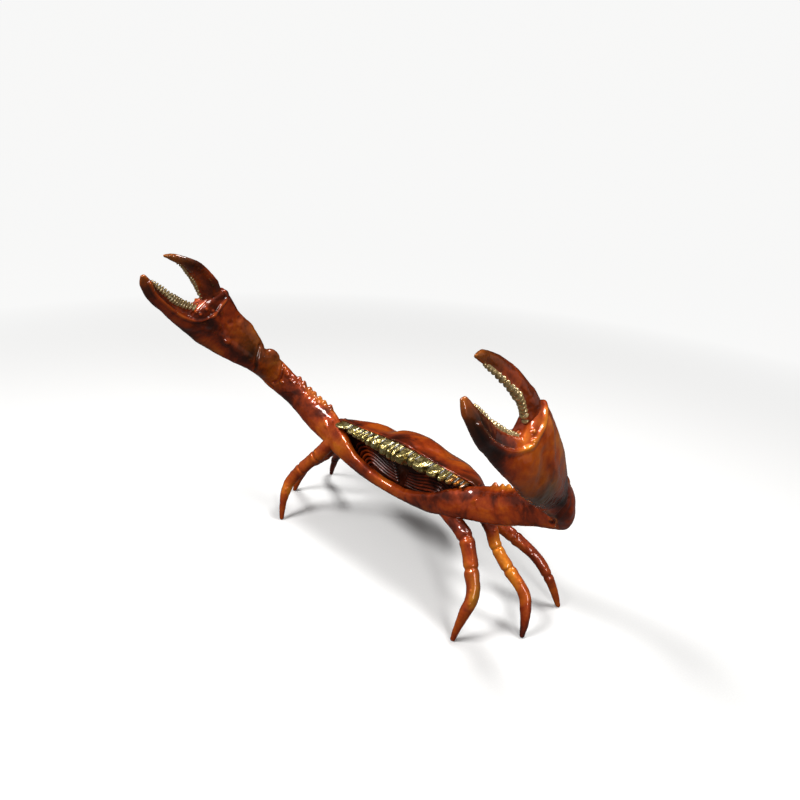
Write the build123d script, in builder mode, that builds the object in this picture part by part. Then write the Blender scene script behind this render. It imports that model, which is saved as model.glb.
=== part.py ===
from build123d import *
import os
from math import cos, radians, sin

# Crab figurine in cast bronze: a hollow body on six legs, with two raised claws.
# X runs across the crab, -Y is its front, +Z is up, and the feet stand on Z = 0.
# The origin is on the floor, under the middle of the overall box.

# Body, in millimetres. Its places run out from the plane of symmetry, back and up.
elbow_out = 138.0           # elbow of each arm from the plane of symmetry
body_height = 90.0          # floor to the top of the tooth ridge
body_length = 62.0          # seam plane of the body shells to the tail
rest_offset = 20.75         # middle feet behind the middle of the overall box
shell_wall = 3.0            # wall of the cast body shells
tail_length = 4.0           # solid tail behind the hollow shells
cast_gap = 0.06             # gap between two cast faces that are brazed together

# Band of the lip and the arms.
arm_thick = 12.0
lip_thick = 8.0
band_lean = 8.0             # lean of the band's edges to the front or the back
seam_back = lip_thick / 2 + cast_gap    # seam plane of the shells behind the middle feet
root_ahead = 9.0            # depth of the arm's root in front of the seam plane

# Hand: wrist, palm and fingers, measured along, across and out from the elbow.
hand_length = 130.0
hand_depth = 40.0
hand_thick = 15.0
hand_tilt = 48.0            # degrees that the hand rises towards the front
hand_out = 134.0            # middle of the hand from the plane of symmetry
elbow_ahead = 16.0          # elbow in front of the middle feet
elbow_high = body_height * 1.189
knuckle_radius = 4.8
wrist_knob_radius = 4.4
knob_radius = 2.3

# Tooth ridge.
ridge_half = 62.0
ridge_back = 6.0            # depth of the strip that carries the nuggets
ridge_proud = 6.0           # how far the largest nugget stands out of the strip

# Ribbed plate inside the mouth.
plate_depth = 3.0           # face of the plate behind the seam plane
plate_thick = 4.0
rib_wide = 1.3
rib_proud = 1.5
rib_count = 6

# Legs. A hip lies inside the body, and a foot on the floor.
leg_radius = 4.9
foot_pad = 1.5              # radius of the flat pad under each foot
leg_reach = 119.2           # rear foot from the plane of symmetry
leg_spread = 43.2           # rear foot behind the middle feet

# Rows of kernels in the fingers, and dowels that locate the brazed joints.
kernel_radius = 1.9
kernel_count = 13
dowel_radius = 1.6
dowel_length = 14.0
dowel_gap = 0.05


def spot(x, y, z):
    """Place measured from the floor point between the middle feet."""
    return Vector(x, y + rest_offset, z)


def front_plane(back):
    """Upright plane that faces the front, behind the middle feet by a distance."""
    return Plane.XZ.offset(-spot(0, back, 0).Y)


def square_plane(centre, along, across):
    """Section plane square to a direction, with its x axis as near as can be to another."""
    forward = along.normalized()
    sideways = across - forward * across.dot(forward)
    return Plane(origin=centre, x_dir=sideways.normalized(), z_dir=forward)


def slab_section(lower, upper, along, half_thick, corner_share=0.72):
    """Rounded slab section that spans from a lower to an upper edge point."""
    chord = upper - lower
    half = chord.length / 2
    facing = along - chord * (along.dot(chord) / chord.dot(chord))
    corner, side = corner_share * half, corner_share * half_thick
    outline = [
        (half, 0), (corner, side), (0, half_thick), (-corner, side),
        (-half, 0), (-corner, -side), (0, -half_thick), (corner, -side),
    ]
    with BuildSketch(square_plane((lower + upper) * 0.5, facing, chord)) as face:
        with BuildLine():
            Spline(*outline, periodic=True)
        make_face()
    return face.sketch


def round_section(plane, radius):
    """Round section in a plane."""
    with BuildSketch(plane) as face:
        Circle(radius)
    return face.sketch


def between(value, table):
    """Value of a table of pairs at a place, in straight steps."""
    for (low, low_value), (high, high_value) in zip(table, table[1:]):
        if value <= high:
            return low_value + (high_value - low_value) * (value - low) / (high - low)
    return table[-1][1]


# Band: stations of the lower edge, the upper edge and the thickness. Across is a share
# of the elbow's reach, forward or back of the lean, and up of the body's height.
lip_stations_shares = [
    ((0.0, 0.0, 0.56), (0.0, 0.1, 0.66), 1.0),
    ((0.07, 0.0, 0.575), (0.07, -0.3, 0.675), 1.0),
    ((0.15, -0.05, 0.585), (0.15, -0.6, 0.715), 1.0),
    ((0.25, 0.0, 0.595), (0.25, -0.75, 0.775), 1.05),
]
arm_stations_shares = [
    ((0.25, 0.0, 0.595), (0.25, -0.75, 0.775), 0.6),
    ((0.38, -0.7, 0.68), (0.385, -0.1, 0.895), 0.8),
    ((0.54, -0.6, 0.75), (0.535, 0.75, 0.985), 0.92),
    ((0.67, -0.6, 0.815), (0.66, 0.5, 1.062), 0.95),
    ((0.79, -0.6, 0.905), (0.76, 0.25, 1.138), 0.95),
    ((0.90, -0.85, 0.99), (0.86, -0.05, 1.222), 0.95),
]


def band_rails(stations_shares):
    """Lower and upper edge points of the band at its stations."""
    return [
        tuple(
            spot(edge[0] * elbow_out, edge[1] * band_lean, edge[2] * body_height)
            for edge in station[:2]
        )
        for station in stations_shares
    ]


def band_sections(stations_shares, thick, last_along):
    """Sections of the band at its stations, the first square to X, the last as told."""
    rails = band_rails(stations_shares)
    middles = [(low + up) * 0.5 for low, up in rails]
    alongs = [after - before for before, after in zip(middles, middles[2:])]
    return [
        slab_section(low, up, along, thick * station[2] / 2)
        for (low, up), along, station in zip(
            rails, [outward, *alongs, last_along], stations_shares
        )
    ]


outward = Vector(1, 0, 0)
arm_rails = band_rails(arm_stations_shares)
arm_start = (arm_rails[0][0] + arm_rails[0][1]) * 0.5
arm_end = (arm_rails[-1][0] + arm_rails[-1][1]) * 0.5
arm_run = arm_end - (arm_rails[-2][0] + arm_rails[-2][1]) * 0.5

# The hand's own directions. Its stations give the lower and the upper edge, each along,
# across and out, and half the thickness, all in shares.
hand_along = Vector(0, -cos(radians(hand_tilt)), sin(radians(hand_tilt)))
hand_across = Vector(0, sin(radians(hand_tilt)), cos(radians(hand_tilt)))
elbow = spot(hand_out, -elbow_ahead, elbow_high)


def hand_spot(along_share, across_share, out_share=0.0):
    """Place on the hand, as shares of its length along and of its depth across and out."""
    along = hand_along * (hand_length * along_share)
    across = hand_across * (hand_depth * across_share)
    return elbow + along + across + outward * (hand_depth * out_share)


palm_stations_shares = [
    ((0.154, -0.178, -0.078), (0.154, 0.385, -0.06), 1.0),
    ((0.215, -0.233, -0.013), (0.215, 0.44, -0.05), 1.02),
    ((0.277, -0.283, 0.05), (0.277, 0.495, -0.045), 1.0),
    ((0.354, -0.338, 0.125), (0.354, 0.515, -0.025), 0.99),
    ((0.438, -0.39, 0.17), (0.438, 0.522, -0.01), 0.98),
    ((0.508, -0.415, 0.175), (0.508, 0.565, -0.03), 0.97),
    ((0.585, -0.425, 0.165), (0.585, 0.595, -0.055), 0.95),
    ((0.646, -0.433, 0.14), (0.646, 0.588, -0.088), 0.87),
]
fixed_finger_shares = [
    ((0.646, -0.433, 0.14), (0.646, 0.05, 0.0), 0.7),
    ((0.708, -0.445, 0.105), (0.715, -0.063, 0.0), 0.57),
    ((0.813, -0.45, 0.065), (0.803, -0.14, -0.055), 0.48),
    ((0.865, -0.453, 0.06), (0.867, -0.16, -0.07), 0.43),
    ((0.92, -0.423, 0.035), (0.912, -0.175, -0.068), 0.37),
    ((0.975, -0.353, -0.033), (0.954, -0.193, -0.063), 0.28),
    ((1.008, -0.245, -0.09), (0.996, -0.2, -0.078), 0.12),
]
knuckle_shares = (0.565, 0.51, -0.02)
wrist_knob_shares = (0.075, 0.39, -0.11)
moving_finger_shares = [
    ((0.646, 0.6, -0.1), (0.646, 0.15, 0.03), 0.62),
    ((0.692, 0.6, -0.165), (0.708, 0.22, 0.02), 0.5),
    ((0.754, 0.588, -0.215), (0.746, 0.268, 0.0), 0.44),
    ((0.808, 0.575, -0.265), (0.785, 0.285, -0.04), 0.4),
    ((0.862, 0.53, -0.325), (0.854, 0.287, -0.138), 0.36),
    ((0.931, 0.43, -0.318), (0.908, 0.277, -0.235), 0.3),
    ((0.985, 0.312, -0.25), (0.958, 0.235, -0.217), 0.22),
    ((1.012, 0.215, -0.22), (1.0, 0.195, -0.2), 0.11),
]


def hand_sections(stations_shares):
    """Sections of the wrist and the palm, square to the hand."""
    return [
        slab_section(hand_spot(*low), hand_spot(*high), hand_along, half * hand_thick / 2)
        for low, high, half in stations_shares
    ]


def finger_sections(stations_shares):
    """Sections of a curved finger, between its outer and its inner edge."""
    rails = [(hand_spot(*outer), hand_spot(*inner)) for outer, inner, _ in stations_shares]
    middles = [(outer + inner) * 0.5 for outer, inner in rails]
    sections = []
    for index, (outer, inner) in enumerate(rails):
        after = middles[min(index + 1, len(middles) - 1)]
        along = after - middles[max(index - 1, 0)] if index else hand_along
        half_thick = stations_shares[index][2] * hand_thick / 2
        sections.append(slab_section(outer, inner, along, half_thick))
    return sections


def dowel_plane(place, along):
    """Plane square to a dowel at the middle of its length."""
    steep_share = 0.9
    upward = Vector(0, 0, 1)
    return square_plane(place, along, upward if abs(along.Z) < steep_share else outward)


wrist_joint_shares = (0.154, 0.115, -0.078)
finger_joint_shares = (0.646, 0.36, -0.02)


def joint_plane(joint_shares):
    """Plane across the hand, the width of the cast gap past a joint."""
    return square_plane(
        hand_spot(joint_shares[0], 0) + hand_along * cast_gap, hand_along, outward
    )


dowel_planes = [
    dowel_plane(arm_start, outward),
    dowel_plane(arm_end, arm_run),
    dowel_plane(hand_spot(*wrist_joint_shares), hand_along),
    dowel_plane(hand_spot(*finger_joint_shares), hand_along),
]


def leg_solid(hip, foot, route_shares, girth_shares, ring_shares):
    """Tapered leg along its route, with a neck at each ring."""
    points = [
        spot(
            hip.X + (foot.X - hip.X) * out,
            hip.Y + (foot.Y - hip.Y) * back,
            hip.Z * up,
        )
        for out, back, up in route_shares
    ]
    with BuildLine() as route_line:
        Spline(*points)
    route = route_line.edges()[0]
    neck_share = 0.84
    bead_shares = (0.0, 0.09, 0.36, 0.64, 0.91, 1.0)
    ends = (0.0, *ring_shares, 1.0)
    with BuildPart() as leg:
        for start, end in zip(ends, ends[1:]):
            sections = []
            for bead in bead_shares:
                place = start + (end - start) * bead
                radius = leg_radius * between(place, girth_shares)
                if bead in (0.0, 1.0) and place not in (0.0, 1.0):
                    radius *= neck_share
                plane = square_plane(route @ place, route % place, Vector(0, 1, 0))
                if place == 1.0:
                    plane = square_plane(route @ place, Vector(0, 0, -1), Vector(0, 1, 0))
                    radius = foot_pad
                sections.append(round_section(plane, radius))
            loft(sections=sections)
    return leg.part


# Legs. The hips follow the arm's and the shells' own sizes. Each route is given as shares
# of the way from the hip to the foot, and of the hip's height. The right front leg has a
# thigh that runs under the band, the left one starts straight from the arm.
right_front_hip_shares, left_front_hip_shares = (0.319, 0.694), (0.478, 0.756)
middle_hip_shares, rear_hip_shares = (0.494, 0.718), (0.406, 0.6)
middle_hip_back_share, rear_hip_back_share = 0.136, 0.386
front_foot_out_share, front_foot_ahead_share, middle_foot_out_share = 0.745, 0.8032, 0.9866


def hip(shares, back):
    """Hip of a leg, from its shares out and up, behind the middle feet by a distance."""
    return Vector(elbow_out * shares[0], back, body_height * shares[1])


right_front_hip = hip(right_front_hip_shares, 0)
left_front_hip = hip(left_front_hip_shares, -band_lean / 2)
middle_hip = hip(middle_hip_shares, seam_back + body_length * middle_hip_back_share)
rear_hip = hip(rear_hip_shares, seam_back + body_length * rear_hip_back_share)
front_foot = Vector(leg_reach * front_foot_out_share, -leg_spread * front_foot_ahead_share, 0)
middle_foot = Vector(leg_reach * middle_foot_out_share, 0, 0)
rear_foot = Vector(leg_reach, leg_spread, 0)
right_front_route_shares = [
    (0.0, 0.0, 1.0), (0.268, 0.086, 0.96), (0.446, 0.187, 0.952), (0.647, 0.277, 0.904),
    (0.768, 0.354, 0.806), (0.929, 0.499, 0.653), (1.031, 0.591, 0.544),
    (1.08, 0.706, 0.446), (1.069, 0.818, 0.346), (1.038, 0.934, 0.176), (1.0, 1.0, 0.0),
]
left_front_route_shares = [
    (0.0, 0.0, 1.0), (0.307, 0.182, 0.838), (0.544, 0.27, 0.741), (0.86, 0.433, 0.6),
    (1.06, 0.537, 0.5), (1.158, 0.668, 0.41), (1.136, 0.795, 0.318),
    (1.075, 0.925, 0.162), (1.0, 1.0, 0.0),
]
middle_route_shares = [
    (0.0, 0.0, 1.0), (0.209, 0.208, 0.885), (0.302, 0.24, 0.755), (0.498, 0.32, 0.613),
    (0.617, 0.32, 0.537), (0.806, 0.336, 0.427), (0.864, 0.36, 0.375),
    (0.937, 0.56, 0.257), (0.982, 0.792, 0.128), (1.0, 1.0, 0.0),
]
rear_route_shares = [
    (0.0, 0.0, 1.0), (0.28, 0.35, 0.83), (0.404, 0.46, 0.763), (0.53, 0.58, 0.694),
    (0.668, 0.67, 0.607), (0.775, 0.724, 0.504), (0.851, 0.763, 0.391),
    (0.902, 0.855, 0.278), (0.945, 0.91, 0.172), (1.0, 1.0, 0.0),
]
right_front_girth_shares = [
    (0, 1.1), (0.4, 1.0), (0.62, 0.92), (0.76, 0.78), (0.9, 0.52), (1, 0.3),
]
left_front_girth_shares = [
    (0, 1.1), (0.3, 0.98), (0.55, 0.92), (0.72, 0.78), (0.88, 0.52), (1, 0.3),
]
middle_girth_shares = [(0, 1.0), (0.3, 0.8), (0.62, 0.8), (0.8, 0.76), (0.9, 0.55), (1, 0.3)]
rear_girth_shares = [(0, 1.05), (0.3, 0.92), (0.6, 0.76), (0.8, 0.6), (0.92, 0.45), (1, 0.3)]
right_front_ring_shares, left_front_ring_shares = (0.32, 0.51), (0.2, 0.42)
middle_ring_shares, rear_ring_shares = (0.3, 0.47), (0.34, 0.72)

with BuildPart() as right_front_leg:
    add(leg_solid(right_front_hip, front_foot, right_front_route_shares,
                  right_front_girth_shares, right_front_ring_shares))
with BuildPart() as right_middle_leg:
    add(leg_solid(middle_hip, middle_foot, middle_route_shares,
                  middle_girth_shares, middle_ring_shares))
with BuildPart() as right_rear_leg:
    add(leg_solid(rear_hip, rear_foot, rear_route_shares,
                  rear_girth_shares, rear_ring_shares))

with BuildPart() as left_front_leg:
    front_leg = leg_solid(left_front_hip, front_foot, left_front_route_shares,
                          left_front_girth_shares, left_front_ring_shares)
    mirror(front_leg, about=Plane.YZ)
with BuildPart() as left_middle_leg:
    mirror(right_middle_leg.part, about=Plane.YZ)
with BuildPart() as left_rear_leg:
    mirror(right_rear_leg.part, about=Plane.YZ)


def dowel_holes():
    """Blind holes for the dowels that cross this piece, cut into the part in hand."""
    with Locations(*dowel_planes):
        Cylinder(dowel_radius + dowel_gap, dowel_length + 2 * dowel_gap, mode=Mode.SUBTRACT)


# Root of the arm, where it spreads back to the body: outlines seen from the front, out
# along the elbow's reach and up the body's height.
root_back_shares = [
    (0.262, 0.591), (0.362, 0.643), (0.478, 0.74), (0.536, 0.833),
    (0.536, 0.925), (0.478, 0.845), (0.362, 0.733), (0.262, 0.66),
]
root_front_shares = [
    (0.27, 0.63), (0.362, 0.7), (0.478, 0.79), (0.53, 0.86),
    (0.53, 0.92), (0.478, 0.85), (0.362, 0.76), (0.27, 0.69),
]


def arm_root_section(outline_shares, ahead):
    """Outline of the arm's root in an upright plane in front of the seam plane."""
    with BuildSketch(front_plane(seam_back - ahead)) as face:
        Polygon(*[(elbow_out * out, body_height * up) for out, up in outline_shares],
                align=None)
    return face.sketch


# Arms, with a row of knobs along the top edge, sockets for the front legs and dowels.
with BuildPart() as right_upper_arm:
    loft(sections=band_sections(arm_stations_shares, arm_thick, arm_run))
    loft(sections=[arm_root_section(root_back_shares, cast_gap),
                   arm_root_section(root_front_shares, root_ahead)], ruled=True)
    crest = Spline(*[up for low, up in arm_rails], mode=Mode.PRIVATE)
    knob_places_shares = (0.34, 0.41, 0.47, 0.55, 0.61, 0.69, 0.76)
    with Locations(*[crest @ place for place in knob_places_shares]):
        Sphere(knob_radius)
    dowel_holes()

with BuildPart() as left_upper_arm:
    mirror(right_upper_arm.part, about=Plane.YZ)
    add(left_front_leg.part, mode=Mode.SUBTRACT)

with right_upper_arm:
    add(right_front_leg.part, mode=Mode.SUBTRACT)

with BuildPart() as front_lip:
    loft(sections=band_sections(lip_stations_shares, lip_thick, outward))
    mirror(about=Plane.YZ)
    lip_end = lip_stations_shares[-1][0][0] * elbow_out - cast_gap
    split(bisect_by=Plane.YZ.offset(lip_end), keep=Keep.BOTTOM)
    split(bisect_by=Plane.YZ.offset(-lip_end), keep=Keep.TOP)
    dowel_holes()
    mirrored_start = Plane(origin=(-arm_start.X, arm_start.Y, arm_start.Z), z_dir=outward)
    with Locations(mirrored_start):
        Cylinder(dowel_radius + dowel_gap, dowel_length + 2 * dowel_gap, mode=Mode.SUBTRACT)

# Wrist: its edges turn from the arm through the elbow into the hand.
elbow_low_shares = (-0.085, -0.1, 0.05)
elbow_up_shares = (0.015, 0.4, -0.17)
turn_shares = (0.0, 0.25, 0.5, 0.75, 1.0)
with BuildPart() as right_wrist:
    step = arm_run.normalized() * cast_gap
    start_half = arm_thick * arm_stations_shares[-1][2] / 2
    (end_low, end_up, end_half_share) = palm_stations_shares[0]
    ends = (arm_run.normalized(), hand_along)
    low_rail = Spline(arm_rails[-1][0] + step, hand_spot(*elbow_low_shares),
                      hand_spot(*end_low), tangents=ends, mode=Mode.PRIVATE)
    up_rail = Spline(arm_rails[-1][1] + step, hand_spot(*elbow_up_shares),
                     hand_spot(*end_up), tangents=ends, mode=Mode.PRIVATE)
    sections = []
    for turn in turn_shares:
        along = low_rail % turn + up_rail % turn
        swell = start_half + (end_half_share * hand_thick / 2 - start_half) * turn
        sections.append(slab_section(low_rail @ turn, up_rail @ turn, along, swell))
    loft(sections=sections)
    with Locations(hand_spot(*wrist_knob_shares)):
        Sphere(wrist_knob_radius)
    dowel_holes()

with BuildPart() as left_wrist:
    mirror(right_wrist.part, about=Plane.YZ)

# Palm with its fixed finger, and a knuckle that rims the root of the moving finger.
with BuildPart() as right_palm:
    loft(sections=hand_sections(palm_stations_shares))
    loft(sections=finger_sections(fixed_finger_shares))
    with Locations(hand_spot(*knuckle_shares)):
        Sphere(knuckle_radius)
    split(bisect_by=joint_plane(wrist_joint_shares), keep=Keep.TOP)
    dowel_holes()

with BuildPart() as left_palm:
    mirror(right_palm.part, about=Plane.YZ)

with BuildPart() as right_moving_finger:
    loft(sections=finger_sections(moving_finger_shares))
    split(bisect_by=joint_plane(finger_joint_shares), keep=Keep.TOP)
    add(right_palm.part, mode=Mode.SUBTRACT)
    dowel_holes()

with BuildPart() as left_moving_finger:
    mirror(right_moving_finger.part, about=Plane.YZ)


def kernel_row(stations_shares, first_share, last_share):
    """Places of a row of kernels along the inner edge of a finger."""
    edge = Spline(
        *[hand_spot(*inner) for outer, inner, half in stations_shares], mode=Mode.PRIVATE
    )
    step_share = (last_share - first_share) / (kernel_count - 1)
    return [edge @ (first_share + step_share * index) for index in range(kernel_count)]


with BuildPart() as right_fixed_teeth:
    with Locations(*kernel_row(fixed_finger_shares, 0.2, 0.84)):
        Sphere(kernel_radius)
    add(right_palm.part, mode=Mode.SUBTRACT)

with BuildPart() as right_moving_teeth:
    with Locations(*kernel_row(moving_finger_shares, 0.1, 0.8)):
        Sphere(kernel_radius)
    add(right_moving_finger.part, mode=Mode.SUBTRACT)
    add(right_palm.part, mode=Mode.SUBTRACT)

with BuildPart() as left_fixed_teeth:
    mirror(right_fixed_teeth.part, about=Plane.YZ)
with BuildPart() as left_moving_teeth:
    mirror(right_moving_teeth.part, about=Plane.YZ)

with BuildPart() as dowel_pins:
    with Locations(*dowel_planes):
        Cylinder(dowel_radius, dowel_length)
    mirror(about=Plane.YZ)


# Tooth ridge: a strip under the front edge of the carapace, with a row of nuggets.
# Its edges are shares of its half length out and of the body height up.
ridge_upper_shares = [(0.0, 1.005), (0.5, 0.99), (1.0, 0.962)]
ridge_lower_shares = [(0.0, 0.865), (0.5, 0.9), (1.0, 0.937)]
nugget_width_shares = (
    0.105, 0.061, 0.044, 0.036, 0.036, 0.049, 0.06, 0.065, 0.04,
    0.04, 0.069, 0.052, 0.097, 0.081, 0.048, 0.048, 0.035, 0.034,
)
nugget_proud_shares = (
    0.6, 0.5, 0.7, 0.8, 0.75, 0.8, 0.85, 0.8, 0.8,
    0.85, 1.0, 0.45, 1.0, 0.95, 0.8, 0.7, 0.5, 0.45,
)
nugget_tip_share = 0.55
nugget_slit_share = 0.12


def edge_height(out, edge_shares):
    """Height of an edge of the ridge at a distance from the middle."""
    return body_height * between(abs(out) / ridge_half, edge_shares)


with BuildPart() as tooth_ridge:
    strip_back = seam_back - cast_gap
    with BuildSketch(front_plane(strip_back)):
        with BuildLine():
            upper = [(ridge_half * out, body_height * up) for out, up in ridge_upper_shares]
            lower = [(ridge_half * out, body_height * up) for out, up in ridge_lower_shares]
            Spline(*[(-x, z) for x, z in reversed(upper[1:])], *upper)
            Line(upper[-1], lower[-1])
            Spline(*reversed(lower), *[(-x, z) for x, z in lower[1:]])
            Line((-lower[-1][0], lower[-1][1]), (-upper[-1][0], upper[-1][1]))
        make_face()
    extrude(amount=ridge_back)
    strip_front = strip_back - ridge_back + cast_gap
    left_edge = -ridge_half
    for width_share, proud_share in zip(nugget_width_shares, nugget_proud_shares):
        width = 2 * ridge_half * width_share
        middle = left_edge + width / 2
        left_edge += width
        low = edge_height(middle, ridge_lower_shares)
        high = edge_height(middle, ridge_upper_shares)
        tall = high - low
        with BuildSketch(front_plane(strip_front)) as root:
            with Locations((middle, (low + high) / 2)):
                Rectangle(width * (1 - nugget_slit_share), tall)
        with BuildSketch(front_plane(strip_front - ridge_proud * proud_share)) as tip:
            with Locations((middle, low + tall * nugget_tip_share)):
                Rectangle(width * nugget_tip_share, tall * nugget_tip_share)
        loft(sections=[root.sketch, tip.sketch])
    add(right_upper_arm.part, mode=Mode.SUBTRACT)
    add(left_upper_arm.part, mode=Mode.SUBTRACT)

# Body shells: stations back from the seam, each with the rim's half width and height,
# the crown's points and the underside's points, out along the half width and up.
shell_stations_shares = [
    (0.0, 0.543, 0.845,
     ((0, 1.022), (0.27, 1.006), (0.51, 0.985), (0.7, 0.98), (0.88, 0.965)),
     ((0, 0.56), (0.4, 0.577), (0.67, 0.643), (0.88, 0.74))),
    (0.17, 0.528, 0.8,
     ((0, 1.033), (0.2, 1.0), (0.44, 0.955), (0.68, 0.96), (0.87, 0.925)),
     ((0, 0.505), (0.4, 0.517), (0.67, 0.578), (0.88, 0.667))),
    (0.37, 0.46, 0.74,
     ((0, 1.0), (0.22, 0.985), (0.44, 0.93), (0.68, 0.93), (0.88, 0.865)),
     ((0, 0.489), (0.4, 0.5), (0.67, 0.54), (0.87, 0.6))),
    (0.6, 0.37, 0.68,
     ((0, 0.9), (0.2, 0.875), (0.42, 0.85), (0.66, 0.815), (0.86, 0.75)),
     ((0, 0.511), (0.39, 0.522), (0.67, 0.55), (0.86, 0.6))),
    (0.81, 0.27, 0.645,
     ((0, 0.765), (0.25, 0.765), (0.49, 0.755), (0.7, 0.735), (0.88, 0.695)),
     ((0, 0.545), (0.37, 0.55), (0.66, 0.57), (0.85, 0.6))),
    (1.0, 0.15, 0.6,
     ((0, 0.67), (0.25, 0.67), (0.5, 0.665), (0.7, 0.655), (0.88, 0.635)),
     ((0, 0.55), (0.35, 0.552), (0.6, 0.56), (0.85, 0.578))),
]
least_hollow_share = 0.2     # least depth inside a shell, of its full depth


def shell_section(station, top, hollow):
    """Closed section of the top or the under shell, solid where it isn't hollow."""
    back, rim_share, rim_up_share, crown_shares, under_shares = station
    rim_out, rim_up = rim_share * elbow_out, rim_up_share * body_height
    lift = cast_gap / 2 if top else -cast_gap / 2
    outline = crown_shares if top else under_shares
    half = [(rim_out * out, body_height * up - rim_up) for out, up in outline]
    half.append((rim_out, 0))
    crown = abs(half[0][1])
    narrow_share = (rim_out - shell_wall) / rim_out
    low_share = max(crown - shell_wall, crown * least_hollow_share) / crown
    outer = [(-x, z + lift) for x, z in reversed(half[1:])] + [(x, z + lift) for x, z in half]
    inner = [(x * narrow_share, (z - lift) * low_share + lift) for x, z in outer]
    with BuildSketch(front_plane(seam_back + body_length * back)) as face:
        with BuildLine(Location((0, rim_up))):
            Spline(*outer)
            if hollow:
                Line(outer[-1], inner[-1])
                Spline(*reversed(inner))
                Line(inner[0], outer[0])
            else:
                Line(outer[-1], outer[0])
        make_face()
    return face.sketch


def tail_section(top):
    """Small closing section behind the last station."""
    rim_share, rim_up_share = shell_stations_shares[-1][1:3]
    shrink_share = 0.55
    outlines = [
        [(out, rim_up_share + (up - rim_up_share) * shrink_share) for out, up in outline]
        for outline in shell_stations_shares[-1][3:]
    ]
    end_share = 1 + tail_length / body_length
    return shell_section((end_share, rim_share * shrink_share, rim_up_share, *outlines),
                         top, False)


with BuildPart() as carapace:
    loft(sections=[shell_section(station, True, True) for station in shell_stations_shares])
    loft(sections=[shell_section(shell_stations_shares[-1], True, False), tail_section(True)])
    add(right_upper_arm.part, mode=Mode.SUBTRACT)
    add(left_upper_arm.part, mode=Mode.SUBTRACT)

with BuildPart() as belly:
    loft(sections=[shell_section(station, False, True) for station in shell_stations_shares])
    loft(sections=[shell_section(shell_stations_shares[-1], False, False),
                   tail_section(False)])
    for limb in (right_upper_arm, right_front_leg, right_middle_leg, right_rear_leg,
                 left_upper_arm, left_front_leg, left_middle_leg, left_rear_leg):
        add(limb.part, mode=Mode.SUBTRACT)

# Mouth plate: the back wall of the mouth inside the shells, with nested arches on each
# side. Its edges are shares of the ridge's half length out and of the body height up.
plate_lower_shares = [(0.0, 0.57), (0.45, 0.58), (0.8, 0.66), (1.02, 0.77), (1.12, 0.86)]
plate_upper_shares = [(0.0, 0.9), (0.5, 0.93), (1.0, 0.94)]
arch_inner_shares = (
    (0.573, 0.624), (0.544, 0.662), (0.502, 0.683), (0.44, 0.678), (0.352, 0.656),
    (0.229, 0.64), (0.06, 0.636),
)
arch_outer_shares = (
    (0.785, 0.733), (0.752, 0.781), (0.682, 0.821), (0.56, 0.842), (0.402, 0.824),
    (0.245, 0.78), (0.118, 0.761),
)
with BuildPart() as mouth_plate:
    plate_front = seam_back + plate_depth
    with BuildSketch(front_plane(plate_front + plate_thick)):
        with BuildLine():
            half = plate_lower_shares + plate_upper_shares[::-1]
            edge = [(ridge_half * out, body_height * up) for out, up in half]
            Polyline(*edge, *[(-x, z) for x, z in reversed(edge[1:-1])], close=True)
        make_face()
    extrude(amount=plate_thick)
    with BuildSketch(front_plane(plate_front)):
        with BuildLine():
            for index in range(rib_count):
                nest_share = index / (rib_count - 1)
                arch = [
                    (
                        ridge_half * (inner[0] + (outer[0] - inner[0]) * nest_share),
                        body_height * (inner[1] + (outer[1] - inner[1]) * nest_share),
                    )
                    for inner, outer in zip(arch_inner_shares, arch_outer_shares)
                ]
                Spline(*arch)
                Spline(*[(-x, z) for x, z in arch])
        trace(line_width=rib_wide)
    extrude(amount=rib_proud)
    add(carapace.part, mode=Mode.SUBTRACT)
    add(belly.part, mode=Mode.SUBTRACT)

parts = {
    "carapace": carapace,
    "belly": belly,
    "front_lip": front_lip,
    "tooth_ridge": tooth_ridge,
    "mouth_plate": mouth_plate,
    "right_upper_arm": right_upper_arm,
    "left_upper_arm": left_upper_arm,
    "right_wrist": right_wrist,
    "left_wrist": left_wrist,
    "right_palm": right_palm,
    "left_palm": left_palm,
    "right_moving_finger": right_moving_finger,
    "left_moving_finger": left_moving_finger,
    "right_fixed_teeth": right_fixed_teeth,
    "left_fixed_teeth": left_fixed_teeth,
    "right_moving_teeth": right_moving_teeth,
    "left_moving_teeth": left_moving_teeth,
    "right_front_leg": right_front_leg,
    "right_middle_leg": right_middle_leg,
    "right_rear_leg": right_rear_leg,
    "left_front_leg": left_front_leg,
    "left_middle_leg": left_middle_leg,
    "left_rear_leg": left_rear_leg,
    "dowel_pins": dowel_pins,
}

os.makedirs("parts", exist_ok=True)
for node_name, built in parts.items():
    built.part.label = node_name
    export_step(built.part, f"parts/{node_name}.step")
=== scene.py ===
import math

import bmesh
import bpy
import numpy as np
from mathutils import Matrix, Vector, noise
from mathutils.kdtree import KDTree


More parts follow.
